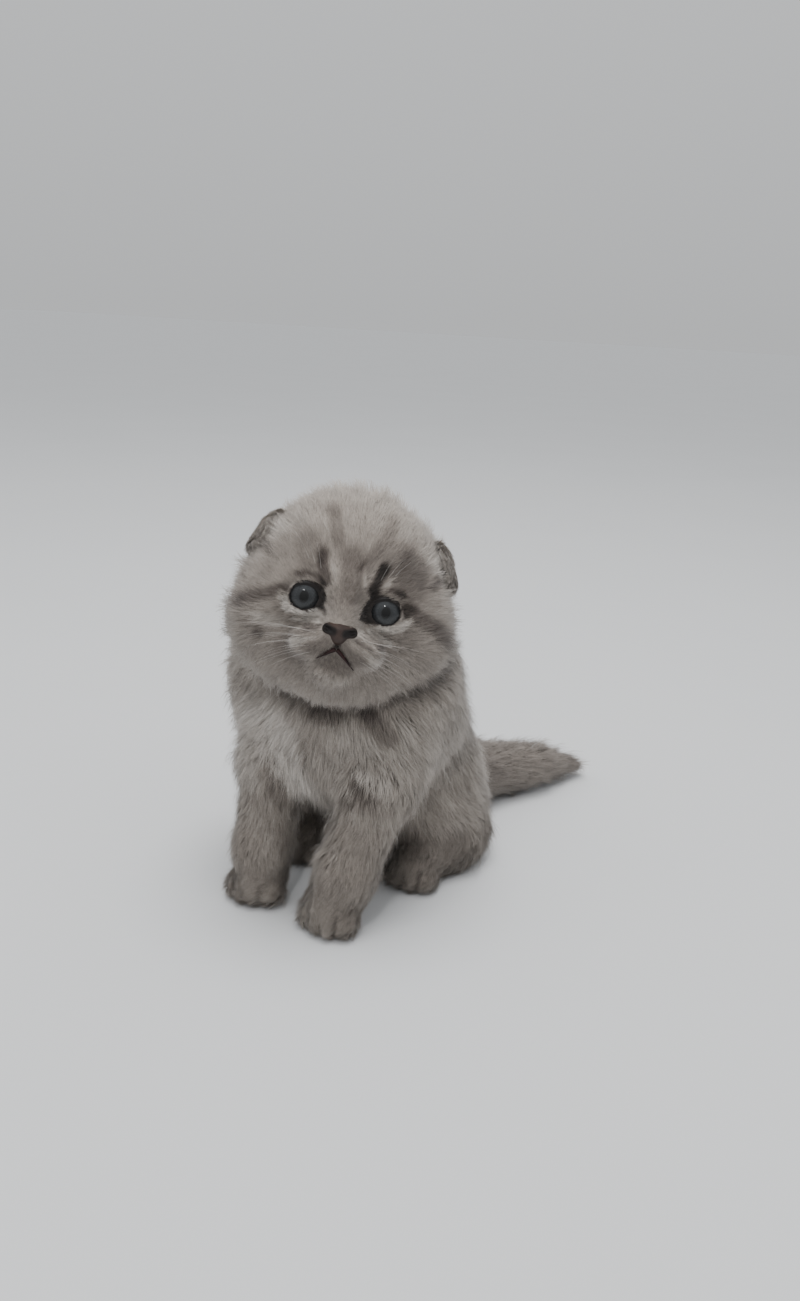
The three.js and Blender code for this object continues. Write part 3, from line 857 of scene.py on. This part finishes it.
class KittenCoatSettings(bpy.types.PropertyGroup):
    mean: bpy.props.FloatVectorProperty(
        name="Mean", description="Colour of most of the coat", subtype="COLOR",
        default=linear("#a39a91"), min=0, max=1,
    )
    dark: bpy.props.FloatVectorProperty(
        name="Dark", description="Colour of the bars and the feet", subtype="COLOR",
        default=linear("#59504b"), min=0, max=1,
    )
    pale: bpy.props.FloatVectorProperty(
        name="Pale", description="Colour of the crescents, bib and jaw", subtype="COLOR",
        default=linear("#d2cbc3"), min=0, max=1,
    )
    fullness: bpy.props.FloatProperty(
        name="Fullness", description="Share of the full count of hairs",
        default=1.0, min=0.02, max=1.0,
    )
    blade: bpy.props.FloatProperty(
        name="Hair width", description="Half width of a lock of hair at its root",
        default=0.11 * MM, min=0.02 * MM, unit="LENGTH",
    )


class KittenEyeSettings(bpy.types.PropertyGroup):
    iris: bpy.props.FloatVectorProperty(
        name="Iris", description="Colour of the middle of the iris", subtype="COLOR",
        default=linear("#2d2f31"), min=0, max=1,
    )
    pupil_width: bpy.props.FloatProperty(
        name="Pupil width", description="Width of the upright pupil",
        default=2.9 * MM, unit="LENGTH",
    )
    pupil_height: bpy.props.FloatProperty(
        name="Pupil height", description="Height of the upright pupil",
        default=4.1 * MM, unit="LENGTH",
    )


class KittenStageSettings(bpy.types.PropertyGroup):
    floor: bpy.props.FloatVectorProperty(
        name="Floor", description="Colour of the plain floor", subtype="COLOR",
        default=linear("#d9dadb"), min=0, max=1,
    )
    key: bpy.props.FloatProperty(
        name="Key light", description="Power of the large soft light",
        default=9.0, min=0, unit="POWER",
    )
    fill: bpy.props.FloatProperty(
        name="Sky", description="Strength of the even light from all round", default=0.75, min=0,
    )


class KITTEN_OT_skin(bpy.types.Operator):
    """Build the one skin of head, body, legs and tail"""

    bl_idname = "kitten.skin"
    bl_label = "Skin"

    def execute(self, context):
        low, high = np.array((-45, -80, -2)), np.array((58, 122, 153))
        corners, quads = surface_net(skin_shape, low, high, SKIN_STEP)
        corners, out = settle(skin_shape, corners, 0.5)
        SKIN["corners"], SKIN["quads"] = corners, quads
        tips = corners + out * coat_depth(corners, part_distances(corners))[:, None]
        # The skin takes the coat's colours dimmed to 0.75: painted shade deep under the fur
        under = fur_material("undercoat_in_painted_shade", 0.75)
        skin = new_piece("skin", corners, quads, under, coat_colour(tips))
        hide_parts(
            "head", "neck", "torso", "tail",
            "foreleg_left", "foreleg_right", "hindleg_left", "hindleg_right",
        )
        return {"FINISHED"}


def ring_quads(count, sides):
    """Quads from each ring of corners to the next."""
    i, k = np.meshgrid(np.arange(count), np.arange(sides), indexing="ij")
    a, b = i * sides + k, i * sides + (k + 1) % sides
    return np.stack([a, b, b + sides, a + sides], -1).reshape(-1, 4)


def ear_sheet(side):
    """The folded flap of one ear as a closed sheet that hugs the head, on the head's frame."""
    steps, across = 20, 24
    turn = 2 * math.pi * np.arange(across) / across
    corners, lift = [], []
    for t in np.linspace(0, 1, steps + 1):
        place, ahead = spline(EAR_LINE, t)
        wide = EAR_SIDE - ahead * np.dot(EAR_SIDE, ahead)
        wide /= np.linalg.norm(wide)
        half = EAR_HALF_WIDTH * math.sqrt(math.sin(math.pi * (0.18 + 0.815 * t)))
        corners.append(place + wide * (half * np.cos(turn))[:, None])
        ends = smooth(0, 0.15, t) * smooth(1.0, 0.92, t)
        rise = -1.0 + 2.7 * smooth(0, 0.5, t) - 0.7 * np.maximum(np.cos(turn), 0) ** 2
        lift.append(rise + EAR_THICKNESS * (0.05 + 0.95 * ends) * np.sin(turn))
    corners, lift = np.concatenate(corners), np.concatenate(lift)
    out = slope_of(head_shape, corners, 0.5)
    corners += out * (lift - head_shape(corners))[:, None]
    corners[:, 0] *= side
    quads = ring_quads(steps, across)
    return corners, quads if side > 0 else quads[:, ::-1]


# Layers of the coat: share of the tufts, hairs in each, how far they spread and their tips draw
# together, how much longer, higher, thinner and paler they are, and how far they pass the outline
Layer = namedtuple("Layer", "share hairs spread gather longer higher thinner paler past")
COAT_LAYERS = {
    "plush": Layer(1.0, 9, 0.9, 0.3, 1.0, 0.0, 1.0, 0.0, 2.2),
    "guard": Layer(0.75, 3, 0.8, -0.7, 1.1, 0.2, 0.4, 0.1, 4.0),
    "wisps": Layer(0.05, 12, 1.5, 0.8, 1.3, 0.3, 0.7, 0.08, 5.5),
}


class KITTEN_OT_coat(bpy.types.Operator):
    """Grow the plush coat, its guard hairs and its loose wisps over the skin"""

    bl_idname = "kitten.coat"
    bl_label = "Coat"

    def execute(self, context):
        looks = context.scene.kitten_coat
        material = fur_material("plush_guard_hair")
        rng = np.random.default_rng(11)
        most = COAT_LAYERS["plush"].hairs

        def density(p):
            return fur_sizes(p, part_distances(p))[1] * looks.fullness

        roots, _ = roots_on(SKIN["corners"], SKIN["quads"], density, most, rng)
        roots = roots[~bare(roots)]
        parts = part_distances(roots)
        out = slope_of(coat_shape, roots, 1.5)
        lie = lie_of(roots, out, parts)
        length, _ = fur_sizes(roots, parts)
        height = coat_depth(roots, parts) * (1 + 0.2 * wander(roots, 9, 8))
        q = to_head(roots)
        fuller = np.where(parts["head"] < parts["trunk"], 0.15, 0.35)
        height *= 1 + fuller * smooth(40, 60, roots[:, 2]) * smooth(30, 48, away(q, NOSE_TIP))
        crown = smooth(24, 36, q[:, 2]) * (parts["head"] < 1)
        region = np.argmin(np.stack([parts[name] for name in parts]), axis=0)
        on_bib = stroke(roots, BIB_LINE, 6, 8)
        for name, layer in COAT_LAYERS.items():
            each = layer.hairs
            loose = layer.share * (1 + 3 * on_bib * (name == "wisps"))
            pick = (rng.random(len(roots)) < loose) & ((length > 4.2) | (name == "plush"))
            width = looks.blade / MM * layer.thinner * np.clip(length[pick] / 9, 0.55, 1.0)
            lift = layer.higher * (1 + 0.6 * crown[pick]) * length[pick]
            corners, ways = blades(
                roots[pick], out[pick], lie[pick], layer.longer * length[pick],
                height[pick] + lift, each, width, rng, layer.spread, layer.gather,
            )
            tails = tail_end(roots[pick], {"tail": parts["tail"][pick]})
            beyond = layer.past + 2 * tails + crown[pick]
            outward = np.repeat(out[pick], each, axis=0)
            corners = keep_inside(corners, outward, np.repeat(beyond, each))
            tuft = rng.normal(size=pick.sum()) * 0.06 + layer.paler * (1 + 2 * on_bib[pick])
            jitter = np.repeat(tuft, each) + rng.normal(size=len(corners)) * 0.07
            tone = coat_colour(0.3 * corners[:, 0] + 0.7 * corners[:, 4], jitter)
            # blades darkened towards their roots, painted shade deep in the coat
            colours = tone[:, None, :] * PAINTED_ROOT_SHADE[:, None]
            where = np.repeat(region[pick], each)
            for i, part in enumerate(parts):
                here = where == i
                spots = unwrap(corners[here, 0], *REGION_FRAMES[part])
                title = f"coat_{name}_{part}"
                coat_pieces(title, corners[here], ways[here], colours[here], spots, material)
        return {"FINISHED"}


# Middle and axes of the map that each part of the coat is unwrapped on
REGION_FRAMES = {
    "head": (HEAD_CENTRE, HEAD_AXES),
    "trunk": (np.array((-1.0, -4.0, 58.0)), np.eye(3)),
    "foreleg_left": (np.array((20.0, -52.0, 32.0)), np.eye(3)),
    "foreleg_right": (np.array((-19.0, -50.0, 32.0)), np.eye(3)),
    "hindleg": (np.array((0.0, 0.0, 10.0)), np.eye(3)),
    "tail": (np.array((25.0, 80.0, 11.0)), turned("X", -90)),
}


def keep_inside(corners, out, most):
    """Draws tips that pass the coat's outline too far back to it, and keeps all above the floor."""
    tip = corners[:, 4]
    past = np.clip(coat_shape(tip) - most, 0, None)
    corners[:, 4] = tip - out * past[:, None]
    corners[..., 2] = np.maximum(corners[..., 2], FLOOR_GAP)
    return corners


# Eyes


def eye_material():
    # Cornea over a grey-blue kitten iris: wet and glassy, with an upright dark pupil
    eye = bpy.context.scene.kitten_eyes
    material, tree = new_material("wet_cornea_over_iris")
    place = add_node(tree, "Attribute", attribute_name="gaze_place")
    split = add_node(tree, "SeparateXYZ", {"Vector": place.outputs["Vector"]})
    x, z = split.outputs["X"], split.outputs["Z"]

    def halves(value, whole):
        links, by = {0: value}, {1: whole / MM / 2}
        return add_node(tree, "Math", links, operation="DIVIDE", inputs=by).outputs[0]

    def distance(across, upward):
        flat = add_node(tree, "CombineXYZ", {"X": across, "Y": upward})
        length = add_node(tree, "VectorMath", {0: flat.outputs[0]}, operation="LENGTH")
        return length.outputs["Value"]

    pupil = distance(halves(x, eye.pupil_width), halves(z, eye.pupil_height))
    reach = add_range(tree, distance(x, z), 0.0, 1.0, 0.0, 5.4)
    ramp = add_node(tree, "ValToRGB", {"Fac": reach})
    stops = ramp.color_ramp.elements
    stops[0].position, stops[0].color = 0.25, (*(c * 0.55 for c in eye.iris), 1)
    stops[1].position, stops[1].color = 0.55, (*eye.iris, 1)
    # the iris darkens to near black at its rim: its dark limbal ring, deepened by painted shade from
    # the lids
    for position, dim in ((0.72, 0.8), (0.84, 0.3), (0.95, 0.04)):
        stops.new(position).color = (*(c * dim for c in eye.iris), 1)
    turn = add_node(tree, "Math", {0: z, 1: x}, operation="ARCTAN2")
    spokes = add_node(tree, "CombineXYZ", {"X": turn.outputs[0], "Y": reach})
    links = {"Vector": spokes.outputs[0]}
    threads = add_node(tree, "TexNoise", links, inputs={"Scale": 9.0, "Detail": 3.0})
    light = add_range(tree, threads.outputs["Fac"], 0.7, 1.3)
    iris = add_scale(tree, ramp.outputs["Color"], light)
    edge = add_range(tree, pupil, 0.0, 1.0, 0.85, 1.15)
    values = {
        "Roughness": 0.45, "Specular IOR Level": 0.1,
        "Coat Weight": 1.0, "Coat Roughness": 0.02, "Coat IOR": 1.376,
    }
    finish_material(tree, add_scale(tree, iris, edge), values)
    return material


def rim_material():
    # Bare skin of the lid margin: dark, thin and moist, so it takes a small bright line
    material, tree = new_material("moist_lid_margin")
    grain = add_noise(tree, 1500.0)
    bump = add_node(
        tree, "Bump", {"Height": grain.outputs["Fac"]},
        inputs={"Strength": 0.15, "Distance": 0.1 * MM},
    )
    colour = add_ramp(tree, grain, (linear("#0b0908"), linear("#1c1513")))
    finish_material(tree, colour, {"Roughness": 0.4, "Specular IOR Level": 0.3}, bump)
    return material


def tube(line, radii, sides=8, closed=False):
    """Rings of corners along a line and the quads between them, the last ring joined to the first
    when closed.
    """
    line = np.asarray(line, float)
    n = len(line)
    ahead = np.roll(line, -1, 0) - np.roll(line, 1, 0) if closed else np.gradient(line, axis=0)
    ahead /= np.linalg.norm(ahead, axis=1, keepdims=True)
    guide = np.array((0.13, -0.93, 0.31))
    wide = np.cross(ahead, guide)
    wide /= np.linalg.norm(wide, axis=1, keepdims=True)
    over = np.cross(wide, ahead)
    turn = np.arange(sides) * 2 * math.pi / sides
    radii = np.asarray(radii, float).reshape(n, -1)
    ring = (
        wide[:, None] * (radii[:, :1] * np.cos(turn))[..., None]
        + over[:, None] * (radii[:, -1:] * np.sin(turn))[..., None]
    )
    corners = (line[:, None] + ring).reshape(-1, 3)
    quads = ring_quads(n if closed else n - 1, sides) % (n * sides)
    return corners, quads[:, [0, 3, 2, 1]]


def globe_net(rows, columns):
    """Corners, quads and end triangles of a globe of radius 1 with its poles at -Y and +Y."""
    dip = np.linspace(0.0, math.pi, rows + 1)[1:-1, None]
    turn = np.arange(columns) * 2 * math.pi / columns
    rings = field(np.sin(dip) * np.cos(turn), -np.cos(dip), np.sin(dip) * np.sin(turn))
    corners = np.concatenate([rings.reshape(-1, 3), [(0, -1, 0), (0, 1, 0)]])
    k = np.arange(columns)
    ahead, last = (k + 1) % columns, (rows - 2) * columns
    front = field(len(corners) - 2, ahead, k)
    back = field(len(corners) - 1, last + k, last + ahead)
    return corners, ring_quads(rows - 2, columns), np.concatenate([front, back])


class KITTEN_OT_eyes(bpy.types.Operator):
    """Set the eyeballs and the dark margins of the lids"""

    bl_idname = "kitten.eyes"
    bl_label = "Eyes"

    def execute(self, context):
        glass, margin = eye_material(), rim_material()
        unit, quads, caps = globe_net(40, 64)
        cornea = 1 + 0.05 * smooth(0.72, 1.0, -unit[:, 1])
        local = unit * (EYE_RADIUS * cornea[:, None])
        for side, name in ((1, "left"), (-1, "right")):
            centre = EYE_CENTRE * (side, 1, 1)
            place = from_head(local + centre)
            eye = new_piece(f"eyeball_{name}", place, (quads, caps), glass)
            gaze = eye.data.attributes.new("gaze_place", "FLOAT_VECTOR", "POINT")
            gaze.data.foreach_set("vector", local.astype(np.float32).ravel())
            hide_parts(f"eye_{name}")
            corners, faces = self.lid_margin(-side, centre)
            new_piece(f"lid_margin_{name}", corners, faces, margin)
        return {"FINISHED"}

    def lid_margin(self, inner, centre):
        """A bead round the opening, drawn down and thicker at the inner corner."""
        wide, high = EYE_OPENING
        t = np.arange(56) * 2 * math.pi / 56
        px = wide * np.cos(t)
        corner = np.exp(-((px * inner - wide) ** 2) / 1.6)
        pz = high * np.sin(t) - 0.9 * corner
        px = px + inner * 1.3 * corner
        thick = 0.45 + 0.75 * smooth(-0.3, 0.9, np.sin(t) + 0.7 * inner * np.cos(t))
        py = -np.sqrt(np.maximum((EYE_RADIUS + 0.1) ** 2 - px**2 - pz**2, 0))
        ring = from_head(np.stack([px, py, pz], 1) + centre)
        return tube(ring, np.stack([thick, 0.3 + 0.3 * thick], 1), closed=True)


# Muzzle


def nose_shape(q):
    m = mirrored(q)
    d = ball(q, (0, -33.9, -9.9), (4.8, 3.2, 2.2))
    d = join(d, ball(q, (0, -34.4, -11.7), (3.0, 2.6, 3.2)), 2.2)
    d = join(d, ball(m, (4.1, -34.0, -10.3), (1.7, 2.4, 1.7)), 1.6)
    d = carve(d, taper(m, *NOSTRIL, 1.0, 0.6), 0.6)
    return carve(d, taper(m, (0, -38.0, -11), (0, -37.6, -16), 0.4, 0.5), 0.7)


def nose_material():
    # Nose leather: fine pebbled bare skin, mauve-brown, a little moist
    material, tree = new_material("pebbled_nose_leather")
    place = add_node(tree, "TexCoord")
    links = {"Vector": place.outputs["Object"]}
    pebbles = add_node(tree, "TexVoronoi", links, inputs={"Scale": 2200.0})
    bump = add_node(
        tree, "Bump", {"Height": pebbles.outputs["Distance"]}, invert=True,
        inputs={"Strength": 0.35, "Distance": 0.12 * MM},
    )
    blotches = add_noise(tree, 240.0)
    colour = add_ramp(tree, blotches, (linear("#2e2421"), linear("#3f312b")), (0.3, 0.7))
    tone = add_node(tree, "VertexColor", layer_name="tone")
    links = {0: colour, 1: tone.outputs["Color"]}
    shade = add_node(tree, "VectorMath", links, operation="MULTIPLY")
    values = {
        "Roughness": 0.55, "Specular IOR Level": 0.3, "Coat Weight": 0.08, "Coat Roughness": 0.35,
    }
    finish_material(tree, shade.outputs[0], values, bump)
    return material


def lip_material():
    # Lip margin: bare dark red-brown skin, moist where the mouth stands a little open
    colours = linear("#1c0c0c"), linear("#2c1616")
    values = {"Roughness": 0.5, "Specular IOR Level": 0.25}
    return mottled_material("moist_lip_skin", 400.0, colours, values, (0.3, 0.7))


def whisker_material():
    # Whisker: stiff clear-white keratin, smooth enough to catch the light along its length
    colours = linear("#a8a29c"), linear("#cfcac4")
    return mottled_material("whisker_keratin", 300.0, colours, {"Roughness": 0.35})


class KITTEN_OT_muzzle(bpy.types.Operator):
    """Build the nose leather, lips and whiskers"""

    bl_idname = "kitten.muzzle"
    bl_label = "Muzzle"

    def execute(self, context):
        low, high = np.array((-8, -39.5, -17.5)), np.array((8, -29, -5))
        corners, quads = surface_net(nose_shape, low, high, NOSE_STEP)
        corners, _ = settle(nose_shape, corners, 0.15)
        # painted shade inside the nostrils: the leather is darkened by up to 0.85 over them
        dark = stroke(mirrored(corners), NOSTRIL, 0.9, 1.3)
        shade = 1 - 0.85 * dark[:, None] * np.ones(3)
        leather = nose_material()
        nose = new_piece("nose_leather", from_head(corners), quads, leather, shade)
        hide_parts("nose")
        lips = lip_material()
        for line, name in zip(MOUTH_LINES, ("left", "right")):
            t = np.linspace(0, 1, 20)
            path = np.array([spline(np.array(line, float), s)[0] for s in t]) + (0, 0.75, 0)
            corners, faces = tube(from_head(path), 0.15 + 0.6 * (1 - t))
            new_piece(f"lip_{name}", corners, faces, lips)
        self.whiskers()
        return {"FINISHED"}

    def whiskers(self):
        """Rows of whiskers on each pad, and three over each eye."""
        rng = np.random.default_rng(5)
        keratin = whisker_material()
        for side, name in ((1, "left"), (-1, "right")):
            hairs = []
            for row in range(4):
                for k in range(4 - row // 3):
                    start = np.array((7.5 + 2.6 * k, -35.0 + 1.1 * k, -12.2 - 2.1 * row))
                    way = np.array((1.0, -0.28 + 0.16 * k, 0.14 - 0.16 * row))
                    way += rng.normal(size=3) * 0.05
                    hairs.append(self.hair(start, way, rng.uniform(12, 19), side))
            for k in range(3):
                start = np.array((10 + 2.2 * k, -29.5 + 0.8 * k, 8.5 + 1.2 * k))
                way = np.array((0.25 + 0.15 * k, -0.45, 0.9))
                hairs.append(self.hair(start, way, rng.uniform(10, 15), side))
            corners = np.concatenate([hair for hair, _ in hairs])
            faces = [quads + i * len(hair) for i, (hair, quads) in enumerate(hairs)]
            place = from_head(corners)
            new_piece(f"whiskers_{name}", place, np.concatenate(faces), keratin)

    def hair(self, start, way, length, side):
        """One whisker that sags a little towards its tip."""
        way = way / np.linalg.norm(way)
        t = np.linspace(0, 1, 9)[:, None]
        sag = np.array((0, 0.12, -0.2)) * length
        line = start + way * t * length + sag * t**2
        line[:, 0] *= side
        return tube(line, np.linspace(0.04, 0.01, 9), 4)


class KITTEN_OT_ears(bpy.types.Operator):
    """Fold the ears forward and cover them with short fur"""

    bl_idname = "kitten.ears"
    bl_label = "Ears"

    def execute(self, context):
        rng = np.random.default_rng(23)
        looks = context.scene.kitten_coat
        under, over = fur_material("ear_skin"), fur_material("ear_plush")
        each = 6

        def density(p):
            return np.full(len(p), 24.0 * looks.fullness)

        for side, name in ((1, "left"), (-1, "right")):
            corners, quads = ear_sheet(side)
            colours = tone_colour(np.zeros(len(corners)))
            ear = new_piece(f"ear_flap_{name}", from_head(corners), quads, under, colours)
            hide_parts(f"ear_{name}")
            roots, face = roots_on(corners, quads, density, each, rng)
            a, b, c, d = (corners[quads[face, k]] for k in range(4))
            out = np.cross(c - a, d - b)
            out /= np.linalg.norm(out, axis=1, keepdims=True)
            spine = np.array([spline(EAR_LINE, t)[0] for t in np.linspace(0, 1, 30)])
            spine[:, 0] *= side
            nearest = np.argmin(((roots[:, None] - spine) ** 2).sum(-1), axis=1)
            t = nearest / (len(spine) - 1)
            ahead = np.gradient(spine, axis=0)[nearest]
            ahead /= np.linalg.norm(ahead, axis=1, keepdims=True)
            from_spine = roots - spine[nearest]
            edge = np.linalg.norm(from_spine, axis=1) / EAR_HALF_WIDTH
            inner = (out * (roots - SKULL_CENTRE)).sum(1) < 0
            lie = ahead + 0.06 * from_spine
            lie -= out * (lie * out).sum(1, keepdims=True)
            lie /= np.maximum(np.linalg.norm(lie, axis=1, keepdims=True), 1e-6)
            length = np.where(inner, 2.5, 5.0 - 1.5 * t)
            height = np.where(inner, 0.5, 1.4) + 0.8 * smooth(0.7, 1.0, edge)
            width = np.full(len(roots), looks.blade / MM * 0.75)
            fur, ways = blades(roots, out, lie, length, height, each, width, rng, 0.7, 0.5)
            # Lit as the flap's outer face is, also round its rim
            over_head = slope_of(head_shape, roots, 0.5)
            ways = ways + 1.3 * np.repeat(over_head, each, axis=0)[:, None]
            front = smooth(0, -7, from_spine[:, 1])
            tone = 0.05 + 0.25 * front + 0.5 * inner - 0.2 * smooth(0.5, 1, t)
            tone = np.repeat(tone, each) + rng.normal(size=len(fur)) * 0.12
            place = from_head(fur.reshape(-1, 3)).reshape(fur.shape)
            facing = (ways.reshape(-1, 3) @ HEAD_AXES.T).reshape(ways.shape)
            flat_map = unwrap(fur[:, 0], np.array((25 * side, 4, 20)), np.eye(3))
            # blades darkened towards their roots, painted shade deep in the coat
            shades = tone_colour(tone)[:, None, :] * PAINTED_ROOT_SHADE[:, None]
            coat_pieces(f"coat_ear_{name}", place, facing, shades, flat_map, over)
        return {"FINISHED"}


# Stage


def floor_material():
    # Matt painted board: pale, even, with a very slight unevenness
    floor = bpy.context.scene.kitten_stage.floor
    colours = [c * 0.97 for c in floor], [min(c * 1.02, 1) for c in floor]
    values = {"Roughness": 0.6, "Specular IOR Level": 0.3}
    return mottled_material("matt_painted_board", 6.0, colours, values, detail=3.0)


class KITTEN_OT_stage(bpy.types.Operator):
    """Lay the floor and set the lights and the camera"""

    bl_idname = "kitten.stage"
    bl_label = "Stage"

    def execute(self, context):
        scene = context.scene
        looks = scene.kitten_stage
        size = 12.0
        mesh = bpy.data.meshes.new("floor")
        edge = [(-size, -size, 0), (size, -size, 0), (size, size, 0), (-size, size, 0)]
        mesh.from_pydata(edge, [], [(0, 1, 2, 3)])
        mesh.materials.append(floor_material())
        floor = bpy.data.objects.new("floor", mesh)
        scene.collection.objects.link(floor)
        world = bpy.data.worlds.new("even_sky")
        world.use_nodes = True
        tree = world.node_tree
        place = add_node(tree, "TexCoord")
        split = add_node(tree, "SeparateXYZ", {"Vector": place.outputs["Generated"]})
        rise = add_range(tree, split.outputs["Z"], 0.9 * looks.fill, 1.38 * looks.fill, 0.0, 0.8)
        sky = tree.nodes["Background"]
        sky.inputs["Color"].default_value = (*linear("#eef0f2"), 1)
        tree.links.new(rise, sky.inputs["Strength"])
        scene.world = world
        ceiling = self.soft_light("ceiling_light", (0.0, 0.0, 1.25), 0.7, looks.key * 1.15)
        ceiling.visible_glossy = False
        self.soft_light("front_light", (0.2, -0.62, 0.98), 0.08, looks.key * 0.22)
        camera_data = bpy.data.cameras.new("photo_camera")
        camera_data.lens = CAMERA_LENS
        camera_data.sensor_width = 36.0
        camera_data.clip_start = 0.01
        camera = bpy.data.objects.new("photo_camera", camera_data)
        ahead = Vector(CAMERA_AHEAD).normalized()
        right = Vector(CAMERA_RIGHT).normalized()
        up = right.cross(ahead)
        place = Matrix((right, up, -ahead)).transposed().to_4x4()
        place.translation = Vector(to_frame(CAMERA_PLACE))
        camera.matrix_world = place
        scene.collection.objects.link(camera)
        scene.camera = camera
        return {"FINISHED"}

    def soft_light(self, name, place, size, power):
        data = bpy.data.lights.new(name, "AREA")
        data.shape = "DISK"
        data.size = size
        data.energy = power
        light = bpy.data.objects.new(name, data)
        light.location = place
        aim = Vector((0, -0.02, 0.08)) - Vector(place)
        light.rotation_euler = aim.to_track_quat("-Z", "Y").to_euler()
        bpy.context.scene.collection.objects.link(light)
        return light


class KITTEN_PT_panel(bpy.types.Panel):
    bl_label = "Kitten"
    bl_idname = "KITTEN_PT_panel"
    bl_space_type = "VIEW_3D"
    bl_region_type = "UI"
    bl_category = "Kitten"

    def draw(self, context):
        scene = context.scene
        for group in (scene.kitten_coat, scene.kitten_eyes, scene.kitten_stage):
            box = self.layout.box()
            for name in group.bl_rna.properties.keys():
                if name not in ("rna_type", "name"):
                    box.prop(group, name)
        for operator in OPERATORS:
            self.layout.operator(operator.bl_idname)


OPERATORS = (
    KITTEN_OT_skin, KITTEN_OT_coat, KITTEN_OT_ears, KITTEN_OT_eyes, KITTEN_OT_muzzle,
    KITTEN_OT_stage,
)
SETTINGS = {
    "kitten_coat": KittenCoatSettings,
    "kitten_eyes": KittenEyeSettings,
    "kitten_stage": KittenStageSettings,
}


def register():
    for group in (*SETTINGS.values(), *OPERATORS, KITTEN_PT_panel):
        bpy.utils.register_class(group)
    for name, group in SETTINGS.items():
        setattr(bpy.types.Scene, name, bpy.props.PointerProperty(type=group))


def unregister():
    for name in SETTINGS:
        delattr(bpy.types.Scene, name)
    for group in reversed((*SETTINGS.values(), *OPERATORS, KITTEN_PT_panel)):
        bpy.utils.unregister_class(group)


def main():
    register()
    for name in ("skin", "coat", "ears", "eyes", "muzzle", "stage"):
        getattr(bpy.ops.kitten, name)()


if __name__ == "__main__":
    main()
